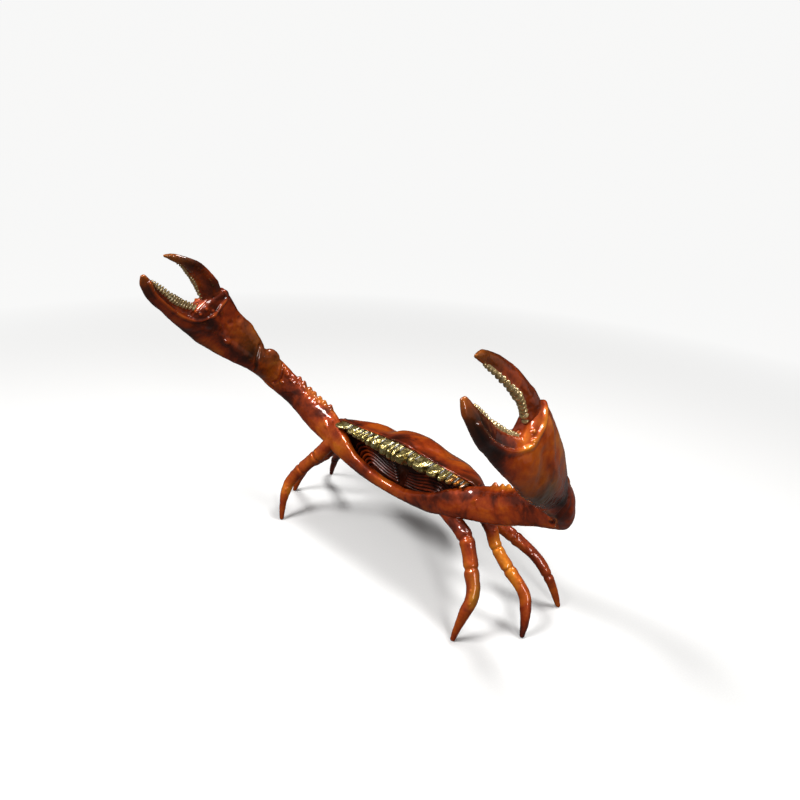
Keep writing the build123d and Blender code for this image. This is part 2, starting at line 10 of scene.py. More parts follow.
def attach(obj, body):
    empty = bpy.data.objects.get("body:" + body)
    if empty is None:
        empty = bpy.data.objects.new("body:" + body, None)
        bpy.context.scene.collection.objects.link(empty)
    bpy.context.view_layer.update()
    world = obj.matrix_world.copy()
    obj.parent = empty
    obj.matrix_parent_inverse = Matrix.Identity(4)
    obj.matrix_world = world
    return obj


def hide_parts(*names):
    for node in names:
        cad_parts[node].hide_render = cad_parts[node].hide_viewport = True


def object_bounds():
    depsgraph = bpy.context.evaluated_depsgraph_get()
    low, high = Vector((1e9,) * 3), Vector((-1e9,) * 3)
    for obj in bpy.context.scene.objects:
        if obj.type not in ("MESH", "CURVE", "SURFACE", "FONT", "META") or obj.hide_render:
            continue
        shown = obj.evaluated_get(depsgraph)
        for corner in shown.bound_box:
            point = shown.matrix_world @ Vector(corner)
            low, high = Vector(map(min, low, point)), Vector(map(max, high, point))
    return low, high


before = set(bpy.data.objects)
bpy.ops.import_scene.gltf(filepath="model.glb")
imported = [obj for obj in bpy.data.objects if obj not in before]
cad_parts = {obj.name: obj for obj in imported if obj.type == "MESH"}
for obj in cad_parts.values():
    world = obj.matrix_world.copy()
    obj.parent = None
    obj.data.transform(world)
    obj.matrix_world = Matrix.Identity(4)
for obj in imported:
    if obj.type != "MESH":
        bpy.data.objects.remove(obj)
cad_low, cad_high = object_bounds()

# The crab figurine's looks. Places are in millimetres in the row frame until a mesh is made:
# x out to the claws, y to the back, z up.
MM = 0.001
REST = 20.75  # how far the body's own zero lies behind the row's
ELBOW_OUT, BODY_HEIGHT, BODY_LENGTH = 138.0, 90.0, 62.0
SEAM = 4.06  # the shells' front edge, behind the body's zero
LEAN = 8.0  # unit of the arms' places from front to back
HAND_LENGTH, HAND_DEPTH = 130.0, 40.0  # units of the places along and across a hand
TILT = math.radians(48.0)  # of the hands above the level
FAR = 1e9
# Fineness of the fused surfaces.
LIMB_VOXEL, FINGER_VOXEL, KERNEL_VOXEL, RIDGE_VOXEL = 0.6, 0.5, 0.35, 0.36
CARAPACE_VOXEL, BELLY_VOXEL, LEG_VOXEL = 0.7, 0.8, 0.45


def arr(*values):
    return np.array(values, float)


def spot(x, y, z):
    """Place from the body's zero."""
    return arr(x, y + REST, z)


def unit(v):
    v = np.asarray(v, float)
    return v / np.maximum(np.linalg.norm(v, axis=-1, keepdims=True), 1e-9)


OUT = arr(1, 0, 0)
ALONG = arr(0, -math.cos(TILT), math.sin(TILT))
ACROSS = arr(0, math.sin(TILT), math.cos(TILT))
ELBOW = spot(134.0, -16.0, 107.0)


def hand(along, across, out=0.0):
    """Place in the right hand, in shares of its length and depth from the elbow."""
    return (ELBOW + ALONG * HAND_LENGTH * along + ACROSS * HAND_DEPTH * across
            + OUT * HAND_DEPTH * out)


def band(out, lean, up):
    """Place in the right arm, in shares of the elbow's reach and the body's height."""
    return spot(out * ELBOW_OUT, lean * LEAN, up * BODY_HEIGHT)


def rise(values, start, width):
    """0 up to the start, growing to 1 over the width."""
    return np.clip((values - start) / width, 0, 1)


def fall(values, end, width):
    """1, shrinking over the width to 0 at the end."""
    return np.clip((end - values) / width, 0, 1)


def hump(values, centre, width):
    """1 at the centre, shrinking to 0 at the width on both sides."""
    return np.clip(1 - abs(values - centre) / width, 0, 1)


def curve(points, count, by=3):
    """Smooth curve through points, evenly sampled by the length of its first columns."""
    p = np.asarray(points, float)
    gap = np.maximum(np.linalg.norm(np.diff(p[:, :by], axis=0), axis=1), 1e-6)
    t = np.r_[0, np.cumsum(gap)]
    m = np.gradient(p, t, axis=0)
    s = np.linspace(0, t[-1], count)
    i = np.clip(np.searchsorted(t, s, side="right") - 1, 0, len(t) - 2)
    h = (t[i + 1] - t[i])[:, None]
    u = ((s - t[i]) / (t[i + 1] - t[i]))[:, None]
    return ((2 * u**3 - 3 * u**2 + 1) * p[i] + (u**3 - 2 * u**2 + u) * h * m[i]
            + (3 * u**2 - 2 * u**3) * p[i + 1] + (u**3 - u**2) * h * m[i + 1])


def circle(count):
    """Angles around a ring."""
    return np.linspace(0, 2 * math.pi, count, endpoint=False)


def oval(count, side, face):
    """Rounded slab outline: places along the chord and through the thickness."""
    c, s = np.cos(circle(count)), np.sin(circle(count))
    return np.stack([np.sign(c) * abs(c)**side, np.sign(s) * abs(s)**face], 1)


def loop(points, count):
    """Closed smooth outline through half-outline points, mirrored across the chord."""
    whole = points + [(u, -w) for u, w in reversed(points[1:-1])]
    return curve(np.array(whole * 3), 3 * count + 1, 2)[count:2 * count]


def slab(stations, count):
    """Middles, chords, half thicknesses, runs and sides along a row of sections."""
    flat = np.array([[*(low + up) / 2, *(up - low) / 2, half] for low, up, half in stations])
    v = curve(flat, count)
    mid, chord = v[:, :3], v[:, 3:6]
    run = unit(np.gradient(mid, axis=0))
    return mid, chord, v[:, 6], run, unit(np.cross(unit(chord), run))


def slab_rings(stations, count, outline):
    """Rings around a slab, with one outline or one for each share of its length."""
    mid, chord, half, run, side = slab(stations, count)
    rings = []
    for i, along in enumerate(np.linspace(0, 1, count)):
        o = outline(along) if callable(outline) else outline
        rings.append(mid[i] + o[:, :1] * chord[i] + o[:, 1:] * half[i] * side[i])
    return np.array(rings)


def skin(rings):
    """Closed tube over rings, with a fan at each end."""
    n, m = rings.shape[:2]
    verts = np.concatenate([rings.reshape(-1, 3), [rings[0].mean(0), rings[-1].mean(0)]])
    faces = []
    for i in range(n - 1):
        for j in range(m):
            k = (j + 1) % m
            faces.append((i * m + j, i * m + k, (i + 1) * m + k, (i + 1) * m + j))
    for j in range(m):
        k = (j + 1) % m
        faces.append((n * m, k, j))
        faces.append((n * m + 1, (n - 1) * m + j, (n - 1) * m + k))
    return verts, faces


def ball(centre, radii, axes=np.eye(3), rings=10, sides=16):
    """Ellipsoid as rings."""
    axes, b, out = np.array(axes), circle(sides), []
    for i in range(rings):
        a = math.pi * (i + 0.5) / rings
        local = np.stack([np.full(sides, math.cos(a)) * radii[0],
                          np.sin(a) * np.cos(b) * radii[1], np.sin(a) * np.sin(b) * radii[2]], 1)
        out.append(local @ axes + centre)
    return skin(np.array(out))


def pipe(path, radius, count=60, sides=14):
    """Round bar along a path."""
    p = curve(path, count)
    run = unit(np.gradient(p, axis=0))
    up = unit(np.cross(run, unit(np.cross(run, arr(0.3, 0.2, 1.0)))))
    side = np.cross(run, up)
    a = circle(sides)
    rings = [p[i] + radius * (np.cos(a)[:, None] * up[i] + np.sin(a)[:, None] * side[i])
             for i in range(count)]
    return skin(np.array(rings))


def read(items, field, width=3, kind=float):
    """A field of a mesh's elements, one row each."""
    values = np.empty(len(items) * width, kind)
    items.foreach_get(field, values)
    return values.reshape(-1, width)


def mesh_of(name, verts, faces):
    mesh = bpy.data.meshes.new(name)
    mesh.from_pydata((verts * MM).tolist(), [], faces)
    mesh.update()
    return mesh


def show(name, mesh):
    obj = bpy.data.objects.new(name, mesh)
    bpy.context.scene.collection.objects.link(obj)
    mesh.polygons.foreach_set("use_smooth", np.ones(len(mesh.polygons), bool))
    return obj


def fuse(parts, voxel):
    """One closed mesh around overlapping closed meshes."""
    verts, faces, start = [], [], 0
    for v, f in parts:
        verts.append(v)
        faces += [tuple(i + start for i in face) for face in f]
        start += len(v)
    obj = show("fuse", mesh_of("fuse", np.concatenate(verts), faces))
    remesh = obj.modifiers.new("remesh", "REMESH")
    remesh.mode = "VOXEL"
    remesh.voxel_size = voxel * MM
    bpy.context.view_layer.update()
    graph = bpy.context.evaluated_depsgraph_get()
    mesh = bpy.data.meshes.new_from_object(obj.evaluated_get(graph))
    bpy.data.objects.remove(obj)
    return mesh


class Clay:
    """A mesh whose points are moved like clay, in millimetres."""
    PULL, REGAIN = 0.5, 0.52  # shares of the way to the neighbours' mean, and back
    STEP = 0.7  # between the points of a stroke
    WEAR_AND_SHADE_HEIGHT = 0.35  # height above or below the surroundings at which a point is fully worn, or fully in a hollow darkened as painted shade

    def __init__(self, mesh):
        self.mesh = mesh
        self.co = read(mesh.vertices, "co") / MM
        self.edges = read(mesh.edges, "vertices", 2, int)
        self.links = np.bincount(self.edges.ravel(), minlength=len(self.co))[:, None]

    def spread(self, values):
        """Mean of each point's neighbours."""
        total = np.zeros_like(values)
        np.add.at(total, self.edges[:, 0], values[self.edges[:, 1]])
        np.add.at(total, self.edges[:, 1], values[self.edges[:, 0]])
        return total / np.maximum(self.links, 1)

    def normals(self):
        self.mesh.vertices.foreach_set("co", (self.co * MM).ravel())
        self.mesh.update()
        return read(self.mesh.vertex_normals, "vector")

    def smooth(self, rounds):
        for _ in range(rounds):
            self.co += (self.spread(self.co) - self.co) * self.PULL
        return self

    def relax(self, rounds):
        """Smooths without shrinking."""
        for _ in range(rounds):
            self.co += (self.spread(self.co) - self.co) * self.PULL
            self.co -= (self.spread(self.co) - self.co) * self.REGAIN
        return self

    def reach(self, path, radius):
        """How near each point is to a path, from 1 on it to 0 beyond the radius."""
        pts = np.atleast_2d(np.asarray(path, float))
        if len(pts) > 1:
            length = np.linalg.norm(np.diff(pts, axis=0), axis=1).sum()
            pts = curve(pts, max(8, int(length / self.STEP)))
        low, high = pts.min(0) - radius, pts.max(0) + radius
        near = np.where(((self.co > low) & (self.co < high)).all(1))[0]
        out = np.zeros(len(self.co))
        if len(near):
            d = np.full(len(near), FAR)
            for p in pts:
                d = np.minimum(d, np.linalg.norm(self.co[near] - p, axis=1))
            out[near] = np.clip(1 - (d / radius)**2, 0, 1)**2
        return out

    def snap(self, path):
        """Path whose points are moved to the nearest points of the surface."""
        return [self.co[np.argmin(np.linalg.norm(self.co - p, axis=1))] for p in path]

    def stroke(self, path, radius, height, push=None):
        """Raises, or with a negative height cuts, the surface along a path."""
        way = self.normals() if push is None else unit(np.asarray(push, float))
        self.co += way * (self.reach(path, radius) * height)[:, None]
        return self

    def grain(self, size, height, seed):
        """Uneven hand-worked surface."""
        roughness, finer, layers = 0.6, 2.1, 3
        lift = np.array([noise.fractal(Vector(p / size) + Vector((seed, 0, seed)),
                                       roughness, finer, layers) for p in self.co])
        self.co += self.normals() * (lift * height)[:, None]
        return self

    def facets(self, size, height, seed):
        """Hammered look: shallow flats that meet in soft ridges."""
        lift = np.array([noise.voronoi(Vector(p / size) + Vector((seed, seed, 0)))[0][0]
                         for p in self.co])
        self.co += self.normals() * ((lift - lift.mean()) * height)[:, None]
        return self

    def marks(self, tone=0.0, ochre=0.0, wear_and_shade_height=WEAR_AND_SHADE_HEIGHT):
        """Stores the masks that the materials read: a point above the mean of its surroundings
        is worn, and one below it lies in a hollow, which the materials darken as painted shade."""
        soft = self.co.copy()
        for _ in range(6):
            soft += (self.spread(soft) - soft) * self.PULL
        wear_and_shade = np.clip(((self.co - soft) * self.normals()).sum(1) / wear_and_shade_height, -1, 1)
        for label, values in (("wear_and_shade", wear_and_shade), ("tone", tone), ("ochre", ochre)):
            data = self.mesh.attributes.new(label, "FLOAT", "POINT").data
            data.foreach_set("value", (np.zeros(len(self.co)) + values).astype(np.float32))


def flip(mesh, name):
    """Mirror image of a mesh across the plane of symmetry."""
    other = mesh.copy()
    other.name = name
    other.transform(Matrix.Scale(-1, 4, (1, 0, 0)))
    other.flip_normals()
    return other


# Materials.
class Graph:
    """A node material under construction."""

    def __init__(self, name):
        self.material = bpy.data.materials.new(name)
        self.material.use_nodes = True
        self.tree = self.material.node_tree
        self.tree.nodes.clear()
        self.shader = self.add("ShaderNodeBsdfPrincipled")
        out = self.add("ShaderNodeOutputMaterial")
        self.link(self.shader.outputs["BSDF"], out.inputs["Surface"])
        self.place = self.add("ShaderNodeTexCoord").outputs["Object"]

    def add(self, kind, **fields):
        node = self.tree.nodes.new(kind)
        for key, value in fields.items():
            setattr(node, key, value)
        return node

    def link(self, source, target):
        self.tree.links.new(source, target)

    def set(self, values):
        """Values that are the same all over the surface."""
        for socket, value in values.items():
            self.shader.inputs[socket].default_value = value

    def feed(self, socket, value):
        if isinstance(value, bpy.types.NodeSocket):
            self.link(value, socket)
        else:
            socket.default_value = value

    def math(self, operation, a, b=0.0, clamp=False):
        node = self.add("ShaderNodeMath", operation=operation, use_clamp=clamp)
        self.feed(node.inputs[0], a)
        self.feed(node.inputs[1], b)
        return node.outputs[0]

    def noise(self, scale, detail=4.0, rough=0.55, twist=0.0, stretch=None):
        node = self.add("ShaderNodeTexNoise")
        for socket, value in (("Scale", scale), ("Detail", detail), ("Roughness", rough),
                              ("Distortion", twist)):
            node.inputs[socket].default_value = value
        source = self.place
        if stretch:
            mapping = self.add("ShaderNodeMapping")
            mapping.inputs["Scale"].default_value = stretch
            self.link(source, mapping.inputs["Vector"])
            source = mapping.outputs["Vector"]
        self.link(source, node.inputs["Vector"])
        return node.outputs["Fac"]

    def mark(self, label):
        return self.add("ShaderNodeAttribute", attribute_name=label).outputs["Fac"]

    def ramp(self, factor, stops):
        node = self.add("ShaderNodeValToRGB")
        elements = node.color_ramp.elements
        while len(elements) < len(stops):
            elements.new(0.5)
        for element, (where, colour) in zip(elements, stops):
            element.position = where
            element.color = (*colour, 1)
        self.feed(node.inputs[0], factor)
        return node.outputs[0]

    def mix(self, factor, a, b):
        node = self.add("ShaderNodeMix", data_type="RGBA")
        self.feed(node.inputs["Factor"], factor)
        for socket, value in ((node.inputs[6], a), (node.inputs[7], b)):
            self.feed(socket, (*value, 1) if isinstance(value, tuple) else value)
        return node.outputs[2]

    def bump(self, height, distance, strength):
        node = self.add("ShaderNodeBump")
        node.inputs["Strength"].default_value = strength
        node.inputs["Distance"].default_value = distance
        self.link(height, node.inputs["Height"])
        self.link(node.outputs["Normal"], self.shader.inputs["Normal"])


def swing(graph, value, scale):
    """A noise value moved to around zero, and scaled."""
    return graph.math("MULTIPLY", graph.math("SUBTRACT", value, 0.5), scale)


def patina(name, lift, coat, coat_rough):
    """Hot patina: dark brown to orange red in clouds, under a clear coat."""
    g = Graph(name)
    broad = g.noise(22.0, 2.0, 0.5, 0.5)
    swirl = g.noise(60.0, 4.0, 0.55, 0.9)
    speck = g.noise(500.0, 3.0, 0.6)
    level = g.math("ADD", 0.52 + lift, swing(g, broad, 1.3))
    level = g.math("ADD", level, swing(g, swirl, 0.9))
    level = g.math("ADD", level, swing(g, speck, 0.16))
    level = g.math("ADD", level, g.math("MULTIPLY", g.mark("tone"), 0.55))
    # Raised points brighter as wear; hollows darker as painted shade.
    level = g.math("ADD", level, g.math("MULTIPLY", g.mark("wear_and_shade"), 0.2), clamp=True)
    colour = g.ramp(level, [
        (0.0, (0.007, 0.002, 0.001)), (0.2, (0.035, 0.006, 0.002)),
        (0.37, (0.11, 0.013, 0.003)), (0.54, (0.31, 0.036, 0.004)),
        (0.74, (0.50, 0.088, 0.006)), (1.0, (0.70, 0.21, 0.012)),
    ])
    cloud = g.math("MULTIPLY", g.noise(60.0, 4.0, 0.6, 0.5), 1.7)
    ochre = g.math("MULTIPLY", g.mark("ochre"), cloud, clamp=True)
    amber = g.ramp(level, [(0.12, (0.035, 0.014, 0.003)), (0.48, (0.20, 0.07, 0.007)),
                           (0.85, (0.46, 0.17, 0.012))])
    colour = g.mix(ochre, colour, amber)
    g.link(colour, g.shader.inputs["Base Color"])
    rough = g.math("ADD", 0.36, swing(g, g.noise(180.0, 4.0), 0.3))
    g.link(rough, g.shader.inputs["Roughness"])
    g.set({"Metallic": 0.25, "Specular IOR Level": 0.12, "Coat Weight": coat,
           "Coat Roughness": coat_rough, "Coat IOR": 1.45})
    relief = g.math("ADD", swing(g, swirl, 0.8), swing(g, speck, 0.35))
    g.bump(relief, 0.0002, 0.5)
    return g.material


def bright_bronze(name, dark, middle, light, metallic):
    """Bare bright bronze in three colours, with dark clouds of dirt, and with hollows darkened as
    painted shade.
    """
    g = Graph(name)
    cloud = g.noise(160.0, 4.0, 0.6, 0.6)
    fleck = g.noise(900.0, 3.0, 0.6)
    base = g.ramp(cloud, [(0.25, dark), (0.5, middle), (0.75, light)])
    amber = g.math("MULTIPLY", g.mark("ochre"), 1.0, clamp=True)
    base = g.mix(amber, base, (0.52, 0.16, 0.018))
    # Painted shade: hollows, and the places that the tone mark darkens, turn towards the dark
    # colour, mixed with clouds of dirt.
    depth = g.math("ADD", g.math("MULTIPLY", g.mark("wear_and_shade"), -1.0), swing(g, cloud, 0.9))
    depth = g.math("ADD", depth, swing(g, fleck, 0.5))
    depth = g.math("ADD", depth, g.math("MULTIPLY", g.mark("tone"), -1.0))
    dirt_and_shade = g.ramp(depth, [(0.08, (0, 0, 0)), (0.55, (1, 1, 1))])
    colour = g.mix(dirt_and_shade, base, (0.035, 0.026, 0.010))
    g.link(colour, g.shader.inputs["Base Color"])
    shine = g.math("SUBTRACT", 1.0, dirt_and_shade)
    g.link(g.math("MULTIPLY", shine, metallic), g.shader.inputs["Metallic"])
    g.link(g.math("ADD", 0.28, swing(g, fleck, 0.25)), g.shader.inputs["Roughness"])
    g.set({"Coat Weight": 0.6, "Coat Roughness": 0.08})
    g.bump(g.math("ADD", swing(g, cloud, 1.0), swing(g, fleck, 0.6)), 0.0003, 0.7)
    return g.material


RED = patina("patina_red", lift=0.0, coat=1.0, coat_rough=0.04)
DARK = patina("patina_dark", lift=-0.22, coat=0.35, coat_rough=0.25)
GOLD = bright_bronze("gold_nuggets", (0.20, 0.135, 0.03), (0.46, 0.36, 0.12),
                     (0.80, 0.72, 0.40), 0.9)
CREAM = bright_bronze("gold_kernels", (0.20, 0.115, 0.04), (0.42, 0.29, 0.12),
                      (0.64, 0.51, 0.28), 0.5)


def bare_rod():
    """Drawn rod, its streaks along the rod."""
    g = Graph("bare_rod")
    drawn = g.noise(300.0, 3.0, 0.6, 0.0, (1, 1, 6))
    g.link(g.ramp(drawn, [(0.3, (0.42, 0.27, 0.12)), (0.7, (0.6, 0.42, 0.2))]),
           g.shader.inputs["Base Color"])
    g.set({"Metallic": 1.0})
    g.link(g.math("ADD", 0.3, swing(g, drawn, 0.3)), g.shader.inputs["Roughness"])
    return g.material


def place(obj, material, slot, *nodes):
    obj.data.materials.clear()
    obj.data.materials.append(material)
    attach(obj, "root")
    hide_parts(*nodes)
    return obj


def pair(mesh, stem, ending, material, slot, node):
    """A piece on the right, and its mirror image on the left."""
    for side, made in (("right_", mesh), ("left_", flip(mesh, "left_" + stem))):
        place(show(side + stem + ending, made), material, slot, side + node)


def sections(where, rows):
    """Low point, high point and half thickness of each section."""
    return [(where(*row[:3]), where(*row[3:6]), row[6]) for row in rows]


# Band, arms, wrists and palms, then the two fingers.
LIMB = sections(band, [
    (-0.02, 0, 0.56, -0.02, 0.1, 0.66, 4.0),
    (0.07, 0, 0.575, 0.07, -0.3, 0.675, 4.0),
    (0.15, -0.05, 0.585, 0.15, -0.6, 0.715, 4.0),
    (0.25, 0, 0.595, 0.25, -0.75, 0.775, 4.1),
    (0.38, -0.7, 0.68, 0.385, -0.1, 0.895, 4.8),
    (0.54, -0.6, 0.75, 0.535, 0.75, 0.985, 5.5),
    (0.67, -0.6, 0.815, 0.66, 0.5, 1.062, 5.7),
    (0.79, -0.6, 0.905, 0.76, 0.25, 1.138, 5.7),
    (0.90, -0.85, 0.99, 0.86, -0.05, 1.222, 5.8),
]) + sections(hand, [
    (-0.085, -0.1, 0.05, 0.015, 0.4, -0.17, 6.7),
    (0.154, -0.178, -0.078, 0.154, 0.385, -0.06, 7.5),
    (0.215, -0.233, -0.013, 0.215, 0.44, -0.05, 7.65),
    (0.277, -0.283, 0.05, 0.277, 0.495, -0.045, 7.5),
    (0.354, -0.338, 0.125, 0.354, 0.515, -0.025, 7.4),
    (0.438, -0.39, 0.17, 0.438, 0.522, -0.01, 7.35),
    (0.508, -0.415, 0.175, 0.508, 0.565, -0.03, 7.25),
    (0.585, -0.425, 0.165, 0.585, 0.59, -0.055, 7.0),
    (0.635, -0.425, 0.14, 0.635, 0.52, -0.07, 6.2),
    (0.662, -0.38, 0.11, 0.655, 0.33, -0.05, 4.2),
])
FIXED = sections(hand, [
    (0.60, -0.415, 0.15, 0.60, 0.12, 0.02, 5.4),
    (0.646, -0.433, 0.14, 0.646, 0.05, 0.0, 5.3),
    (0.708, -0.445, 0.105, 0.715, -0.063, 0.0, 4.3),
    (0.813, -0.45, 0.065, 0.803, -0.14, -0.055, 3.7),
    (0.865, -0.453, 0.06, 0.867, -0.16, -0.07, 3.3),
    (0.92, -0.423, 0.035, 0.912, -0.175, -0.068, 2.8),
    (0.975, -0.353, -0.033, 0.954, -0.193, -0.063, 2.1),
    (1.004, -0.26, -0.085, 0.992, -0.2, -0.078, 1.0),
])
MOVING = sections(hand, [
    (0.585, 0.49, -0.06, 0.585, 0.19, 0.02, 3.4),
    (0.646, 0.575, -0.1, 0.646, 0.155, 0.03, 4.6),
    (0.692, 0.595, -0.165, 0.708, 0.22, 0.02, 3.8),
    (0.754, 0.588, -0.215, 0.746, 0.268, 0.0, 3.4),
    (0.808, 0.575, -0.265, 0.785, 0.285, -0.04, 3.05),
    (0.862, 0.53, -0.325, 0.854, 0.287, -0.138, 2.75),
    (0.931, 0.43, -0.318, 0.908, 0.277, -0.235, 2.3),
    (0.985, 0.312, -0.25, 0.958, 0.235, -0.217, 1.7),
    (1.008, 0.215, -0.22, 0.998, 0.198, -0.2, 0.85),
])

# Outlines of the arm's root, shares out and up.
ROOT_BACK = [(0.262, 0.591), (0.362, 0.643), (0.478, 0.74), (0.536, 0.833),
             (0.536, 0.925), (0.478, 0.845), (0.362, 0.733), (0.262, 0.66)]
ROOT_FRONT = [(0.27, 0.63), (0.362, 0.7), (0.478, 0.79), (0.53, 0.86),
              (0.53, 0.92), (0.478, 0.85), (0.362, 0.76), (0.27, 0.69)]


def root_ring(outline, back):
    return np.array([spot(x * ELBOW_OUT, back, z * BODY_HEIGHT) for x, z in outline])


def ring_of(points, count):
    """Closed smooth outline through all its points."""
    return curve([*points * 3, points[0]], 3 * count + 1, 2)[count:2 * count]


# Sections of the fingers, along the chord to the gap and through the thickness.
trough = ring_of([(-1, 0), (-0.82, 0.62), (-0.3, 1.0), (0.35, 0.95), (0.78, 0.72),
                  (0.93, 0.42), (0.82, 0.1), (0.5, -0.12), (0.22, -0.36), (0.12, -0.66),
                  (0.0, -0.95), (-0.3, -1.0), (-0.82, -0.62)], 56)
blade = ring_of([(-1, 0), (-0.8, 0.6), (-0.3, 0.95), (0.25, 0.95), (0.68, 0.7), (0.93, 0.35),
                 (1.0, 0.0), (0.93, -0.35), (0.68, -0.7), (0.25, -0.95), (-0.3, -0.95),
                 (-0.8, -0.6)], 56)
finger = loop([(-1, 0), (-0.82, 0.62), (-0.3, 1.0), (0.2, 0.92), (0.42, 0.62), (0.55, 0.46),
               (0.7, 0.44), (0.8, 0.34), (0.86, 0.0)], 56)


def fixed_outline(along):
    blend = rise(along, 0.62, 0.25)
    return trough * (1 - blend) + blade * blend


def moving_outline(along):
    start, end = rise(along, 0.1, 0.12), rise(along, 0.78, 0.15)
    return (blade * (1 - start) + finger * start) * (1 - end) + blade * end


crest = curve([up for low, up, half in LIMB[4:10]], 200)
BUMP_LONG, BUMP_WIDE, BUMP_RISE, BUMP_SUNK, BUMP_TIP = 4.3, 3.2, 3.1, 1.2, 0.18
ROOT_GAP, ROOT_DEPTH = 0.06, 9.0  # of the arm's root, in front of the seam
KNOB = (4.6, 8.5, 5.2)  # of the wrist
LIP_SHARE, WRIST_SHARE = 0.25, 0.154  # where the lip and the wrist end


def crest_bumps():
    """Bumps and beads along the crest of the arm."""
    draw, last, made = np.random.default_rng(7), len(crest) - 1, []
    for where in (0.34, 0.41, 0.47, 0.55, 0.61, 0.69, 0.76):
        i = int(where * last)
        run = unit(crest[i + 1] - crest[i - 1])
        up = unit(np.cross(np.cross(run, arr(0, 0.3, 1)), run))
        peak = crest[i] + up * BUMP_RISE + run * draw.uniform(-0.5, 0.5)
        ring = [crest[i] + run * BUMP_LONG * math.cos(a)
                + arr(0, 1, 0) * BUMP_WIDE * math.sin(a) - up * BUMP_SUNK for a in circle(10)]
        made.append(skin(np.array([ring, [peak + (p - crest[i]) * BUMP_TIP for p in ring]])))
    for _ in range(26):
        i, size = int(draw.uniform(0.3, 0.8) * last), draw.uniform(0.7, 1.4)
        centre = crest[i] + arr(0, -draw.uniform(1.8, 4.4), -draw.uniform(-0.2, 4.2))
        made.append(ball(centre, (size, size, size)))
    return made


parts = [skin(slab_rings(LIMB, 220, oval(64, 0.96, 0.86))),
         skin(slab_rings(FIXED, 90, fixed_outline)),
         skin(np.array([root_ring(ROOT_BACK, SEAM - ROOT_GAP),
                        root_ring(ROOT_FRONT, SEAM - ROOT_DEPTH)])),
         *crest_bumps(), ball(hand(0.07, 0.35, -0.1), KNOB, [OUT, ALONG, ACROSS])]
limb = Clay(fuse(parts, LIMB_VOXEL)).smooth(3).relax(12)

rim_inner = [hand(0.605, 0.545, -0.1), (128.8, -30.5, 176.5), (127.3, -35.9, 170),
             (128.5, -40.8, 164.5), (130.1, -47, 161.3), (131.3, -55.4, 161.8),
             (131.6, -62.6, 165.4), (130.8, -70, 171.8), (130.3, -77, 178.3),
             (130.2, -82, 184.4), (129.8, -85, 191.5)]
rim_outer = [hand(0.605, 0.545, -0.02), (138.6, -36.2, 179.1), (141.5, -41.5, 175),
             (142.2, -45.5, 172.8), (142.4, -51.5, 169.4), (141.8, -57.3, 169),
             (140.9, -65.1, 170.7), (139.6, -73.5, 174.8), (138.5, -79.9, 180.2),
             (137.2, -85.1, 186.9)]
knee = (130.4, -31.3, 143.2)
# Path, radius and height of each stroke of the thumb.
LIMB_STROKES = (
    (rim_inner, 1.9, 1.3), (rim_outer, 2, 1.2),
    ([knee, (129.3, -37.2, 157.8), (128.5, -41, 164)], 4.5, 1),
    ([knee, (132.6, -47.3, 153.2), (134, -58, 158)], 4.5, 0.9),
    ([knee, (127.9, -24.5, 135.8), (124.6, -15.5, 126.7)], 4.5, 1),
    ([(129.5, -45, 158.5)], 6, -1), ([(128.2, -33, 152.5)], 5, -0.8),
    ([(128.7, -27.9, 156.5)], 3.4, -1), ([(130.1, -19.5, 158.9)], 3.2, -0.9),
    ([(124.6, -4.6, 136.2), (123.2, -7.3, 131.4), (122.7, -9.6, 124.9),
      (124.6, -9.9, 117.2), (127.7, -10, 113.9)], 2.2, -1.4),
    ([(125.6, 15.8, 116.4), (121.9, 11.5, 110.8), (122.1, 8, 105.3),
      (125.8, 5.6, 101.6)], 2.4, -1.6),
    ([(118.4, 15.4, 109.2)], 3, 1.6), ([(119.7, 9.1, 103.9)], 2.6, 1.2),
    ([(114.6, 15.5, 106.5)], 2.4, 1.1),
    ([hand(0.155, 0.42, -0.06), hand(0.15, 0.33, -0.2)], 3.4, -1.2),
    ([hand(0.33, 0.53, -0.06)], 6, 0.8), ([hand(0.585, 0.56, -0.06)], 4.2, 1.3),
    ([(140.6, -34.2, 173.9), (143.1, -33.6, 166), (145.9, -34.6, 157.3),
      (146.2, -29.4, 148), (142.4, -14.3, 132.6), (139.2, -0.3, 118.6)], 5, 0.9),
    ([(143, -43, 163), (147, -44, 152)], 5, -0.8),
    ([(128.2, 6.1, 95.7), (137.6, -3.5, 109.4), (139.5, -0.3, 117),
      (139.1, 1.5, 120.5)], 2.2, -1.5),
    ([(141.1, 4.8, 111.2)], 4.5, 0.9),
    ([(138.9, -47.5, 173)], 1.8, 1.5), ([(141.9, -50, 170.8)], 1.7, 1.3),
    ([(134.7, -49.4, 171.3)], 1.8, 1.2), ([(130.7, -54.1, 168.6)], 1.8, 1.3),
    ([(127.7, -46.6, 169.5)], 1.7, 1.2), ([(128, -42, 167.5)], 1.9, 1.1),
    ([(129.5, -50.8, 166)], 1.6, 1.2),
)
for path, radius, height in LIMB_STROKES:
    limb.stroke(limb.snap(path), radius, height)
limb.grain(11.0, 0.3, 3).relax(2)
INSET = 0.06  # keeps the hands inside the CAD's box
limb.co[:, 0] = np.minimum(limb.co[:, 0], cad_high[0] / MM - INSET)


def region(co, path, radius):
    """How near each point is to a path, from 1 on it to 0 at the radius."""
    pts = curve(path, 40) if len(path) > 1 else np.array(path)
    d = np.min(np.linalg.norm(co[:, None] - pts[None], axis=2), axis=1)
    return np.clip(1 - d / radius, 0, 1)


